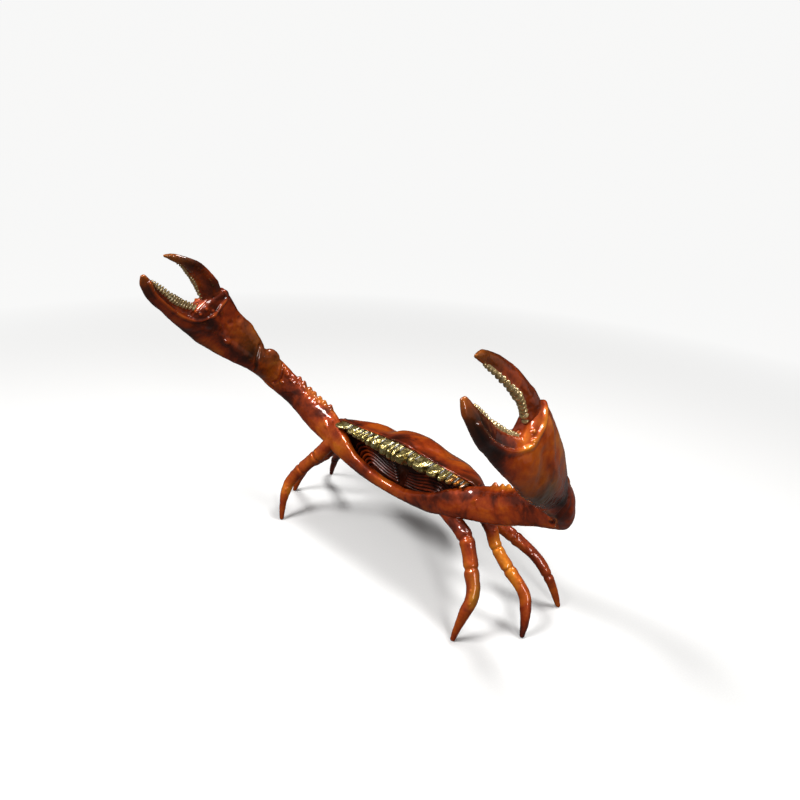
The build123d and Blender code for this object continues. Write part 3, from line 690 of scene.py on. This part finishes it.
def limb_tone(co):
    """Where the patina is darker or brighter, and where it turns to amber."""
    x = co[:, 0]
    along, across = (co - ELBOW) @ ALONG / HAND_LENGTH, (co - ELBOW) @ ACROSS / HAND_DEPTH
    in_hand = rise(along, -0.05, 0.1) * (x > 112)
    inner, outer = fall(x, 134, 4) * in_hand, rise(x, 135, 4) * in_hand
    lower = fall(across, 0.12, 0.22)
    tone = 0.12 + 0.1 * (1 - in_hand)
    tone -= 0.7 * inner * hump(along, 0.45, 0.3) * lower
    tone -= 0.12 * inner * (1 - lower)
    tone += 0.35 * outer * rise(across, 0.05, 0.3)
    tone -= 0.4 * outer * fall(across, 0.0, 0.2)
    tone -= 0.85 * outer * hump(along, 0.12, 0.16)
    tone -= 0.5 * in_hand * rise(along, 0.68, 0.12)
    tone += 0.45 * in_hand * rise(along, 0.92, 0.08)
    tone -= 0.45 * region(co, crest[::20] + arr(0, -4, -5), 6.0) * (1 - in_hand)
    tone += 0.18 * region(co, rim_inner, 2.6) * (along < 0.72)
    tone += 0.2 * region(co, rim_outer, 2.6)
    ochre = outer * lower * hump(along, 0.38, 0.22)
    ochre += 0.7 * inner * (1 - lower) * hump(along, 0.26, 0.2)
    ochre += 0.5 * in_hand * rise(along, 0.86, 0.14)
    ochre += 0.7 * in_hand * hump(along, 0.05, 0.12) * fall(x, 136, 1)
    ochre += 0.6 * region(co, crest[60:150:15], 5.0)
    return tone, np.clip(ochre, 0, 1)


limb.marks(*limb_tone(limb.co))


def cut(mesh, name, planes):
    """The part of a mesh behind each plane, given as a point and an outward normal."""
    bm = bmesh.new()
    bm.from_mesh(mesh)
    for point, normal in planes:
        whole = bm.verts[:] + bm.edges[:] + bm.faces[:]
        done = bmesh.ops.bisect_plane(bm, geom=whole, dist=1e-7, plane_co=Vector(point * MM),
                                      plane_no=Vector(normal), clear_outer=True)
        edges = [e for e in done["geom_cut"] if isinstance(e, bmesh.types.BMEdge)]
        bmesh.ops.contextual_create(bm, geom=edges)
    made = bpy.data.meshes.new(name)
    bm.to_mesh(made)
    bm.free()
    return made


SAME = 1e-8  # distance, in metres, at which a cut piece's point is one of the whole's


def seamless(piece, whole):
    """Gives a cut piece the normals of the whole surface, so that no joint shows."""
    n = read(whole.vertex_normals, "vector")
    tree = KDTree(len(whole.vertices))
    for i, v in enumerate(whole.vertices):
        tree.insert(v.co, i)
    tree.balance()
    normals = []
    for v in piece.vertices:
        near = tree.find_n(v.co, 3)
        if near[0][2] < SAME:
            normals.append(n[near[0][1]])
            continue
        weights = np.array([1 / (x[2] + 1e-9) for x in near])
        normals.append(unit((n[[x[1] for x in near]] * weights[:, None]).sum(0)))
    piece.polygons.foreach_set("use_smooth", np.ones(len(piece.polygons), bool))
    piece.normals_split_custom_set_from_vertices([tuple(x) for x in normals])
    return piece


arm_start, arm_end = [(low + up) / 2 for low, up, half in LIMB[7:9]]
arm_run = unit(arm_end - arm_start)
lip_end = spot(LIP_SHARE * ELBOW_OUT, 0, 0)
wrist_end = hand(WRIST_SHARE, 0)
limb.normals()
CUTS = {
    "lip": [(arr(0, 0, 0), -OUT), (lip_end, OUT)],
    "upper_arm": [(lip_end, -OUT), (arm_end, arm_run)],
    "wrist": [(arm_end, -arm_run), (wrist_end, ALONG)],
    "palm": [(wrist_end, -ALONG)],
}


def joined(name, right, left):
    """Two halves as one mesh, without the walls between them."""
    bm = bmesh.new()
    bm.from_mesh(right)
    bm.from_mesh(left)
    middle = [f for f in bm.faces if all(abs(v.co.x) < 1e-6 for v in f.verts)]
    bmesh.ops.delete(bm, geom=middle, context="FACES")
    bmesh.ops.remove_doubles(bm, verts=bm.verts, dist=1e-5)
    made = bpy.data.meshes.new(name)
    bm.to_mesh(made)
    bm.free()
    return made


for label, planes in CUTS.items():
    piece = seamless(cut(limb.mesh, "right_" + label, planes), limb.mesh)
    if label == "lip":
        lip = joined("lip", piece, flip(piece, "left_lip"))
        place(show("lip", lip), RED, "patina_bronze", "front_lip")
    else:
        pair(piece, label, "_cast", RED, "patina_bronze", label)

# Moving fingers, set in the palms' sockets.
claw = Clay(fuse([skin(slab_rings(MOVING, 110, moving_outline))], FINGER_VOXEL)).smooth(1)
claw.grain(6.0, 0.25, 11).relax(1)
tip = rise((claw.co - ELBOW) @ ALONG / HAND_LENGTH, 0.84, 0.16)
claw.marks(0.02 + 0.15 * tip, 0.12 + 0.6 * tip)
pair(claw.mesh, "finger", "_cast", RED, "patina_bronze", "moving_finger")


def kernels(stations, first, last, count, seat, radii, seed):
    """Row of kernels along the inner edge of a finger. The seat is their place along the chord
    and through the thickness, and their long way in the same two."""
    draw = np.random.default_rng(seed)
    mid, chord, half, run, side = slab(stations, 200)
    length = np.r_[0, np.cumsum(np.linalg.norm(np.diff(mid, axis=0), axis=1))]
    length /= length[-1]
    bits, spine = [], []
    for where in np.linspace(first, last, count):
        i = int(np.searchsorted(length, where))
        size = np.interp(where, [first, first + (last - first) * 0.4, last], [0.85, 1.1, 0.55])
        centre = mid[i] + chord[i] * seat[0] + side[i] * half[i] * seat[1]
        long_way = unit(unit(chord[i]) * seat[2] + side[i] * seat[3])
        thin_way = unit(np.cross(run[i], long_way))
        wide = [radii[0] * size, 1.22 * size, min(radii[1], half[i] * 0.8) * size]
        wide = [w * draw.uniform(0.9, 1.08) for w in wide]
        lean = unit(run[i] + long_way * draw.uniform(-0.12, 0.12))
        bits.append(ball(centre, wide, [long_way, lean, thin_way], 12))
        spine.append(centre - unit(chord[i]) * 0.6)
    bits.append(pipe(spine[::2], 1.1))
    row = Clay(fuse(bits, KERNEL_VOXEL)).smooth(1)
    # Painted shade: the hollows between the kernels are darkened in colour.
    row.marks(wear_and_shade_height=0.21)
    return row.mesh


fixed_row = kernels(FIXED[1:], 0.03, 0.84, 17, (0.84, 0.0, 0.88, 0.42), (3.4, 1.8), 21)
moving_row = kernels(MOVING[1:], 0.05, 0.8, 16, (0.84, 0.0, 1.0, 0.0), (1.9, 2.3), 22)
for label, mesh in (("fixed_teeth", fixed_row), ("moving_teeth", moving_row)):
    pair(mesh, label, "_gold", CREAM, "gold_bronze", label)

# Body shells: each section's place along the body, the rim's reach and height, and half the
# outline of the carapace and of the belly, as shares of that reach and the body's height.
SHELL = [
    (0.0, 0.543, 0.845,
     ((0, 1.022), (0.27, 1.006), (0.51, 0.985), (0.7, 0.98), (0.88, 0.965)),
     ((0, 0.56), (0.4, 0.577), (0.67, 0.643), (0.88, 0.74))),
    (0.17, 0.528, 0.8,
     ((0, 1.033), (0.2, 1.0), (0.44, 0.955), (0.68, 0.96), (0.87, 0.925)),
     ((0, 0.505), (0.4, 0.517), (0.67, 0.578), (0.88, 0.667))),
    (0.37, 0.46, 0.74,
     ((0, 1.0), (0.22, 0.985), (0.44, 0.93), (0.68, 0.93), (0.88, 0.865)),
     ((0, 0.489), (0.4, 0.5), (0.67, 0.54), (0.87, 0.6))),
    (0.6, 0.37, 0.68,
     ((0, 0.9), (0.2, 0.875), (0.42, 0.85), (0.66, 0.815), (0.86, 0.75)),
     ((0, 0.511), (0.39, 0.522), (0.67, 0.55), (0.86, 0.6))),
    (0.81, 0.27, 0.645,
     ((0, 0.765), (0.25, 0.765), (0.49, 0.755), (0.7, 0.735), (0.88, 0.695)),
     ((0, 0.545), (0.37, 0.55), (0.66, 0.57), (0.85, 0.6))),
    (1.0, 0.15, 0.6,
     ((0, 0.67), (0.25, 0.67), (0.5, 0.665), (0.7, 0.655), (0.88, 0.635)),
     ((0, 0.55), (0.35, 0.552), (0.6, 0.56), (0.85, 0.578))),
    (1.05, 0.08, 0.602,
     ((0, 0.64), (0.25, 0.64), (0.5, 0.636), (0.7, 0.63), (0.88, 0.62)),
     ((0, 0.575), (0.35, 0.577), (0.6, 0.582), (0.85, 0.59))),
]


WALL = 3.0
TAIL = 0.96  # share of the body's length behind which the shells are solid


def sheet(front, back, turned=False):
    """Closed thin body between two grids of points."""
    n, m = front.shape[:2]
    k = n * m
    faces = []
    for i in range(n - 1):
        for j in range(m - 1):
            a, b, c, d = i * m + j, i * m + j + 1, (i + 1) * m + j + 1, (i + 1) * m + j
            faces += [(a, b, c, d), (a + k, d + k, c + k, b + k)]
        for j in (0, m - 1):
            a, d = i * m + j, (i + 1) * m + j
            faces.append((a, d, d + k, a + k) if j == 0 else (a, a + k, d + k, d))
    for j in range(m - 1):
        a, b = j, j + 1
        faces.append((a, a + k, b + k, b))
        a, b = a + k - m, b + k - m
        faces.append((a, b, b + k, a + k))
    if turned:
        faces = [(a, d, c, b) for a, b, c, d in faces]
    return np.concatenate([front.reshape(-1, 3), back.reshape(-1, 3)]), faces


def shell(pick, rows=110, half_columns=80):
    """One body shell, the carapace's or the belly's: its walls, and a solid tail."""
    v = curve([[back, rim, up, *np.ravel(halves[pick])] for back, rim, up, *halves in SHELL],
              rows, 1)
    outer, inner = [], []
    for row in v:
        y = SEAM + BODY_LENGTH * row[0] + REST
        rim, rim_up = row[1] * ELBOW_OUT, row[2] * BODY_HEIGHT
        pts = row[3:].reshape(-1, 2)
        x, z = np.r_[pts[:, 0] * rim, rim], np.r_[pts[:, 1] * BODY_HEIGHT, rim_up]
        line = curve(np.stack([np.r_[-x[::-1][:-1], x], np.r_[z[::-1][:-1], z]], 1),
                     2 * half_columns + 1)
        outer.append(np.stack([line[:, 0], np.full(len(line), y), line[:, 1]], 1))
        tall = max(abs(z[0] - rim_up), 0.1)
        low = max(tall - WALL, tall * 0.2) / tall
        narrow = max(rim - WALL, rim * 0.3) / rim
        inner.append(np.stack([line[:, 0] * narrow, np.full(len(line), y),
                               rim_up + (line[:, 1] - rim_up) * low], 1))
    outer = np.array(outer)
    verts, faces = sheet(outer, np.array(inner), True)
    if pick == 1:
        faces = [tuple(reversed(f)) for f in faces]
    return [(verts, faces), skin(outer[v[:, 0] > TAIL])]


top = Clay(fuse(shell(0), CARAPACE_VOXEL)).smooth(3)
for side in (-1, 1):
    for path, radius, height in (
        ([spot(side * 30, 30, 82), spot(side * 22, 16, 87), spot(side * 12, 6, 91)], 7.0, -0.7),
        ([spot(side * 55, 22, 78), spot(side * 46, 10, 84)], 6.0, -0.5),
    ):
        top.stroke(path, radius, height)
top.grain(16.0, 0.32, 5).relax(4)
back = top.co[:, 1] - REST
top.marks(0.22 - 0.1 * rise(back, 20, 30) - 0.55 * fall(back, 17, 14),
          0.3 * sum(region(top.co, [spot(side * 62, 6, 84)], 12) for side in (-1, 1)))
place(show("carapace_cast", top.mesh), RED, "patina_bronze", "carapace")

under = Clay(fuse(shell(1), BELLY_VOXEL)).smooth(3)
under.grain(12.0, 0.4, 8).relax(1)
under.marks(tone=-0.15)
place(show("belly_cast", under.mesh), RED, "patina_bronze", "belly")

# Mouth: its innermost and outermost rib, as shares of the ridge's half width and the height.
ARCH_IN = [(0.573, 0.624), (0.544, 0.662), (0.502, 0.683), (0.44, 0.678), (0.352, 0.656),
           (0.229, 0.64), (0.06, 0.636)]
ARCH_OUT = [(0.785, 0.733), (0.752, 0.781), (0.682, 0.821), (0.56, 0.842), (0.402, 0.824),
            (0.245, 0.78), (0.118, 0.761)]
RIDGE_HALF = 62.0
RIBS, RIB_HALF, RIB_HEIGHT = 6, 1.25, 1.5
MOUTH_FRONT, MOUTH_BACK, MOUTH_BOW = 3.0, 6.9, 1.2  # behind the seam


def mouth():
    """Back wall of the mouth as a fine grid, raised along the arches."""
    low = curve([(-1.1, 0.86), (-1.0, 0.76), (-0.8, 0.65), (-0.45, 0.57), (0, 0.56),
                 (0.45, 0.57), (0.8, 0.65), (1.0, 0.76), (1.1, 0.86)], 200, 2)
    high = curve([(-1.0, 0.945), (-0.5, 0.93), (0, 0.9), (0.5, 0.93), (1.0, 0.945)], 200, 2)
    columns, rows = 300, 84
    x = np.linspace(-1.07, 1.07, columns)
    z0 = np.interp(x, low[:, 0], low[:, 1])
    z1 = np.interp(np.clip(x, -1, 1), high[:, 0], high[:, 1])
    u = np.linspace(0, 1, rows)[:, None]
    xs = np.broadcast_to(x * RIDGE_HALF, (rows, columns))
    zs = (z0 + (z1 - z0) * u) * BODY_HEIGHT
    lift = np.zeros((rows, columns))
    inner, outer = np.array(ARCH_IN), np.array(ARCH_OUT)
    for i in range(RIBS):
        arch = curve(inner + (outer - inner) * (i / (RIBS - 1)), 160, 2)
        d = np.full((rows, columns), FAR)
        for px, pz in arch * arr(RIDGE_HALF, BODY_HEIGHT):
            d = np.minimum(d, np.hypot(abs(xs) - px, zs - pz))
        lift = np.maximum(lift, np.clip(1 - (d / RIB_HALF)**2, 0, 1)**0.8 * RIB_HEIGHT)
    front = SEAM + MOUTH_FRONT + MOUTH_BOW * (1 - rise(abs(xs), 0, 60)**2) - lift
    return sheet(np.stack([xs, front + REST, zs], 2),
                 np.stack([xs, np.full_like(xs, SEAM + MOUTH_BACK + REST), zs], 2))


plate = Clay(mesh_of("mouth", *mouth()))
plate.marks()
place(show("mouth_plate_cast", plate.mesh), DARK, "dark_bronze", "mouth_plate")

# Tooth ridge: each nugget's width as a share of the ridge's, and how proud it stands.
WIDTHS = [0.105, 0.061, 0.044, 0.036, 0.036, 0.049, 0.06, 0.065, 0.04,
          0.04, 0.069, 0.052, 0.097, 0.081, 0.048, 0.048, 0.035, 0.034]
PROUD = [0.6, 0.5, 0.7, 0.8, 0.75, 0.8, 0.85, 0.8, 0.8,
         0.85, 1.0, 0.45, 1.0, 0.95, 0.8, 0.7, 0.5, 0.45]
NUGGET_ROOT, NUGGET_FRONT, NUGGET_PROUD = 0.4, 5.9, 6.0  # in front of the seam
# Depth, size and share of the tip's lean at each ring of a nugget.
NUGGET = [(0.0, 0.96, 0.0), (0.5, 0.94, 0.1), (0.8, 0.76, 0.6), (1.0, 0.42, 1.0)]


def ridge_low(x):
    return np.interp(abs(x) / RIDGE_HALF, [0, 0.5, 1], [0.865, 0.9, 0.937]) * BODY_HEIGHT


def ridge_high(x):
    return np.interp(abs(x) / RIDGE_HALF, [0, 0.5, 1], [1.005, 0.99, 0.962]) * BODY_HEIGHT


def ridge():
    """Bar of tapered nuggets with slits between them, the slits and the nuggets' feet darkened as
    painted shade.
    """
    draw = np.random.default_rng(31)
    strip = []
    for x in np.linspace(-RIDGE_HALF + 0.4, RIDGE_HALF - 0.4, 60):
        z0, z1 = ridge_low(x), ridge_high(x)
        strip.append([spot(x, SEAM - 0.2, z0 + 0.6), spot(x, SEAM - 5.2, z0 + 1.4),
                      spot(x, SEAM - 5.4, z1 - 1.6), spot(x, SEAM - 3.0, z1 - 0.4),
                      spot(x, SEAM - 0.2, z1 - 0.2)])
    bits = [skin(np.array(strip))]
    left = -RIDGE_HALF
    for width, proud in zip(WIDTHS, PROUD):
        w = 2 * RIDGE_HALF * width
        mid, left = left + w / 2, left + w
        z0, z1 = ridge_low(mid), ridge_high(mid)
        tall = z1 - z0
        front = SEAM - NUGGET_FRONT - NUGGET_PROUD * proud * 0.94
        spin = draw.uniform(0, 1)
        tip_x, tip_z = draw.uniform(-0.16, 0.16) * w, draw.uniform(-0.02, 0.14) * tall
        rings = []
        for depth, size, push in NUGGET:
            y = SEAM - NUGGET_ROOT + (front - SEAM + NUGGET_ROOT) * depth
            ring = []
            for a in circle(7) + spin:
                j = size * (1 + draw.uniform(-0.1, 0.06))
                c, s = math.cos(a), math.sin(a)
                px = np.sign(c) * abs(c)**0.6 * w / 2 * j
                pz = np.sign(s) * abs(s)**0.6 * tall / 2 * j
                ring.append(spot(mid + px + tip_x * push, y, (z0 + z1) / 2 + pz + tip_z * push))
            rings.append(ring)
        bits.append(skin(np.array(rings)))
    row = Clay(fuse(bits, RIDGE_VOXEL)).smooth(1)
    row.facets(4.0, 0.7, 5).grain(5.0, 0.25, 9)
    slits = -RIDGE_HALF + 2 * RIDGE_HALF * np.r_[0, np.cumsum(WIDTHS)]
    for x in slits[1:-1]:
        z0, z1 = ridge_low(x), ridge_high(x)
        row.stroke([spot(x, SEAM - 10, z0), spot(x, SEAM - 11, (z0 + z1) / 2),
                    spot(x, SEAM - 7, z1 - 1), spot(x, SEAM - 2, z1)], 1.7, 2.0, (0, 1, -0.35))
    x, z = row.co[:, 0], row.co[:, 2]
    # Painted shade: the slits between nuggets and the low feet of the nuggets are darkened in
    # colour.
    slit_shade = hump(np.min(abs(x[:, None] - slits), axis=1), 0, 1.2)
    foot = fall(z, ridge_low(x) + 3.4, 3.0)
    amber = rise(x, 47, 8) + 0.35 * rise(-x, 57, 4)
    row.marks(-1.2 * slit_shade - 0.75 * foot, np.clip(amber, 0, 1))
    return row.mesh


place(show("tooth_ridge_gold", ridge()), GOLD, "gold_bronze", "tooth_ridge")

# Legs: routes from hip to foot, in shares of the way out, back and up.
RIGHT_FRONT = [
    (0.0, 0.0, 1.0), (0.268, 0.086, 0.96), (0.446, 0.187, 0.952), (0.647, 0.277, 0.904),
    (0.768, 0.354, 0.806), (0.929, 0.499, 0.653), (1.031, 0.591, 0.544),
    (1.08, 0.706, 0.446), (1.069, 0.818, 0.346), (1.038, 0.934, 0.176), (1.0, 1.0, 0.0)]
LEFT_FRONT = [
    (0.0, 0.0, 1.0), (0.307, 0.182, 0.838), (0.544, 0.27, 0.741), (0.86, 0.433, 0.6),
    (1.06, 0.537, 0.5), (1.158, 0.668, 0.41), (1.136, 0.795, 0.318),
    (1.075, 0.925, 0.162), (1.0, 1.0, 0.0)]
MIDDLE = [
    (0.0, 0.0, 1.0), (0.209, 0.208, 0.885), (0.302, 0.24, 0.755), (0.498, 0.32, 0.613),
    (0.617, 0.32, 0.537), (0.806, 0.336, 0.427), (0.864, 0.36, 0.375),
    (0.937, 0.56, 0.257), (0.982, 0.792, 0.128), (1.0, 1.0, 0.0)]
REAR = [
    (0.0, 0.0, 1.0), (0.28, 0.35, 0.83), (0.404, 0.46, 0.763), (0.53, 0.58, 0.694),
    (0.668, 0.67, 0.607), (0.775, 0.724, 0.504), (0.851, 0.763, 0.391),
    (0.902, 0.855, 0.278), (0.945, 0.91, 0.172), (1.0, 1.0, 0.0)]
# Each leg: hip, foot, route, girth along it, places of its joints, seed of its surface.
LEGS = {
    "right_front": ((44.0, 0.0, 62.5), (88.8, -34.7), RIGHT_FRONT,
                    [(0, 1.1), (0.4, 1.0), (0.62, 0.92), (0.76, 0.78), (0.9, 0.52), (1, 0.3)],
                    (0.32, 0.51), 41),
    "left_front": ((66.0, -4.0, 68.0), (88.8, -34.7), LEFT_FRONT,
                   [(0, 1.1), (0.3, 0.98), (0.55, 0.92), (0.72, 0.78), (0.88, 0.52), (1, 0.3)],
                   (0.2, 0.42), 44),
    "middle": ((68.2, 12.5, 64.6), (117.6, 0.0), MIDDLE,
               [(0, 1.0), (0.3, 0.8), (0.62, 0.8), (0.8, 0.76), (0.9, 0.55), (1, 0.3)],
               (0.3, 0.47), 42),
    "rear": ((56.0, 28.0, 54.0), (119.2, 43.2), REAR,
             [(0, 1.05), (0.3, 0.92), (0.6, 0.76), (0.8, 0.6), (0.92, 0.45), (1, 0.3)],
             (0.34, 0.72), 43),
}


LEG_RADIUS, LEG_RINGS, LEG_SIDES = 4.9, 150, 40
LEG_ROOT = 7.0  # length of the root inside the body
TIP_START = 0.985


def leg(kind):
    """A tapered leg with a crease at each joint, its foot flat on the floor."""
    hip, foot, route, girth, joints, seed = LEGS[kind]
    path = [spot(hip[0] + (foot[0] - hip[0]) * o, hip[1] + (foot[1] - hip[1]) * b, hip[2] * u)
            for o, b, u in route]
    p = curve(path, LEG_RINGS)
    run = unit(np.gradient(p, axis=0))
    side = unit(np.cross(run, arr(0.02, 0.05, 1)))
    up = unit(np.cross(side, run))
    a = circle(LEG_SIDES)
    rings = []
    for i, w in enumerate(np.linspace(0, 1, LEG_RINGS)):
        r = LEG_RADIUS * np.interp(w, *zip(*girth))
        for joint in joints:
            for swell, shift, width in ((-0.14, 0, 0.009), (0.07, 0.03, 0.022),
                                        (0.05, -0.03, 0.022)):
                r *= 1 + swell * math.exp(-((w - joint - shift) / width)**2)
        shape = 1 + 0.04 * np.cos(3 * a + 0.6 + 1.2 * w)
        if w > TIP_START:
            shape = shape * math.sqrt(max(1 - ((w - TIP_START) / 0.02)**2, 0.2))
        ring = p[i] + r * shape[:, None] * (np.cos(a)[:, None] * side[i] * 0.97
                                            + np.sin(a)[:, None] * up[i] * 1.02)
        ring[:, 2] = np.maximum(ring[:, 2], 0.0)
        rings.append(ring)
    rings.insert(0, rings[0] - run[0] * LEG_ROOT)
    body = Clay(fuse([skin(np.array(rings))], LEG_VOXEL)).smooth(1)
    body.grain(9.0, 0.22, seed)
    draw = np.random.default_rng(seed)
    for _ in range(16 if kind == "left_front" else 6):
        w = draw.uniform(0.08, 0.75)
        i = int(w * (LEG_RINGS - 1))
        r = LEG_RADIUS * np.interp(w, *zip(*girth))
        angle = draw.uniform(0.2, 2.6)
        centre = p[i] + r * (math.cos(angle) * side[i] + math.sin(angle) * up[i])
        body.stroke([centre], draw.uniform(1.3, 2.2), draw.uniform(0.15, 0.4))
    body.relax(1)
    body.co[:, 2] = np.maximum(body.co[:, 2], 0.0)
    height = body.co[:, 2] / hip[2]
    tone, ochre = 0.24 - 0.18 * rise(height, 0.75, 0.2) - 0.2 * fall(height, 0.12, 0.12), 0.0
    if kind == "right_front":
        middle_x = np.interp(body.co[:, 2], p[::-1, 2], p[::-1, 0])
        ochre = rise(body.co[:, 0], middle_x, 3) * hump(height, 0.52, 0.25) * 0.9
        tone += 0.35 * ochre
    if kind == "middle":
        tone -= 0.3 * fall(height, 0.45, 0.2)
    body.marks(tone, ochre)
    return body.mesh


def show_leg(mesh, node):
    place(show(node + "_cast", mesh), RED, "patina_bronze", node)


show_leg(leg("right_front"), "right_front_leg")
show_leg(flip(leg("left_front"), "left_front"), "left_front_leg")
for kind in ("middle", "rear"):
    leg_mesh = leg(kind)
    show_leg(leg_mesh, "right_" + kind + "_leg")
    show_leg(flip(leg_mesh, "left_" + kind), "left_" + kind + "_leg")

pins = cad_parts["dowel_pins"]
pins.data.materials.clear()
pins.data.materials.append(bare_rod())

# Floor, light and camera, in metres.
YAW = math.radians(42.1)  # of the camera's heading
PALE = (0.93, 0.93, 0.925, 1)
WORLD_LIGHT = 0.22  # strength of the world on the object


def backdrop():
    """Pale floor that curves up far behind the object."""
    profile = [(-1.4, 0.0), (-0.6, 0.0), (0.0, 0.0), (0.8, 0.0), (1.5, 0.0)]
    turn, radius, half_width, height = 12, 0.6, 3.0, 2.6
    end = profile[-1][0]
    for i in range(1, turn + 1):
        a = math.pi / 2 * i / turn
        profile.append((end + radius * math.sin(a), radius - radius * math.cos(a)))
    profile.append((end + radius, height))
    verts = [(x * math.cos(YAW) - y * math.sin(YAW), x * math.sin(YAW) + y * math.cos(YAW), z)
             for y, z in profile for x in (-half_width, half_width)]
    faces = [(k, k + 1, k + 3, k + 2) for k in range(0, 2 * len(profile) - 2, 2)]
    mesh = bpy.data.meshes.new("floor")
    mesh.from_pydata(verts, [], faces)
    obj = show("floor", mesh)
    g = Graph("pale_floor")
    paper = g.noise(900.0, 3.0, 0.6)
    pale = g.ramp(paper, [(0.3, (0.80, 0.795, 0.785)), (0.7, (0.83, 0.825, 0.815))])
    dim = g.ramp(paper, [(0.3, (0.05, 0.049, 0.048)), (0.7, (0.065, 0.064, 0.063))])
    seen = g.add("ShaderNodeLightPath").outputs["Is Camera Ray"]
    away = g.add("ShaderNodeVectorMath", operation="LENGTH")
    g.link(g.place, away.inputs[0])
    fade = g.add("ShaderNodeMapRange")
    g.link(away.outputs["Value"], fade.inputs["Value"])
    fade.inputs["From Min"].default_value = 0.25
    fade.inputs["From Max"].default_value = 0.9
    glow = g.math("MULTIPLY", fade.outputs["Result"], seen)
    g.link(g.mix(glow, g.mix(seen, dim, pale), (0.02, 0.02, 0.02)), g.shader.inputs["Base Color"])
    g.link(glow, g.shader.inputs["Emission Strength"])
    g.set({"Emission Color": PALE, "Roughness": 0.9, "Specular IOR Level": 0.1})
    mesh.materials.append(g.material)


backdrop()


def softbox(name, where, aim, size, power):
    data = bpy.data.lights.new(name, "AREA")
    data.shape = "RECTANGLE"
    data.size, data.size_y = size
    data.energy = power
    obj = bpy.data.objects.new(name, data)
    obj.location = where
    obj.rotation_euler = (Vector(aim) - Vector(where)).to_track_quat("-Z", "Y").to_euler()
    bpy.context.scene.collection.objects.link(obj)


softbox("key", (-0.3, -0.6, 0.95), (0, 0, 0.09), (0.36, 0.24), 10.0)
softbox("top", (0.15, 0.3, 1.0), (0, 0, 0.09), (0.45, 0.18), 7.5)
softbox("side", (0.85, -0.45, 0.55), (0, 0, 0.1), (0.16, 0.4), 3.5)

world = bpy.data.worlds.new("studio")
bpy.context.scene.world = world
world.use_nodes = True
tree = world.node_tree
tree.nodes.clear()
out, back, rays, pale, seen = [
    tree.nodes.new("ShaderNode" + kind)
    for kind in ("OutputWorld", "Background", "LightPath", "MapRange", "Math")]
seen.operation = "MAXIMUM"
tree.links.new(rays.outputs["Is Camera Ray"], seen.inputs[0])
tree.links.new(rays.outputs["Is Transmission Ray"], seen.inputs[1])
tree.links.new(seen.outputs[0], pale.inputs["Value"])
pale.inputs["To Min"].default_value = WORLD_LIGHT
pale.inputs["To Max"].default_value = 1.0
tree.links.new(pale.outputs["Result"], back.inputs["Strength"])
back.inputs["Color"].default_value = PALE
tree.links.new(back.outputs[0], out.inputs[0])

camera_data = bpy.data.cameras.new("camera")
camera_data.lens = 27.045
camera_data.sensor_width = 36.0
camera_data.sensor_fit = "HORIZONTAL"
camera_data.clip_start = 0.01
camera = bpy.data.objects.new("camera", camera_data)
# The camera's axes and place, fitted to the photograph.
right = unit(arr(0.72315, 0.68798, 0.06119))
up = unit(arr(-0.30340, 0.23682, 0.92296))
look = unit(arr(-0.62049, 0.68600, -0.37999))
turn = Matrix((right, up, -look)).transposed().to_4x4()
camera.matrix_world = Matrix.Translation(Vector(arr(253.2, -279.8 + REST, 280.0) * MM)) @ turn
bpy.context.scene.collection.objects.link(camera)
bpy.context.scene.camera = camera
bpy.context.scene.view_settings.view_transform = "Standard"
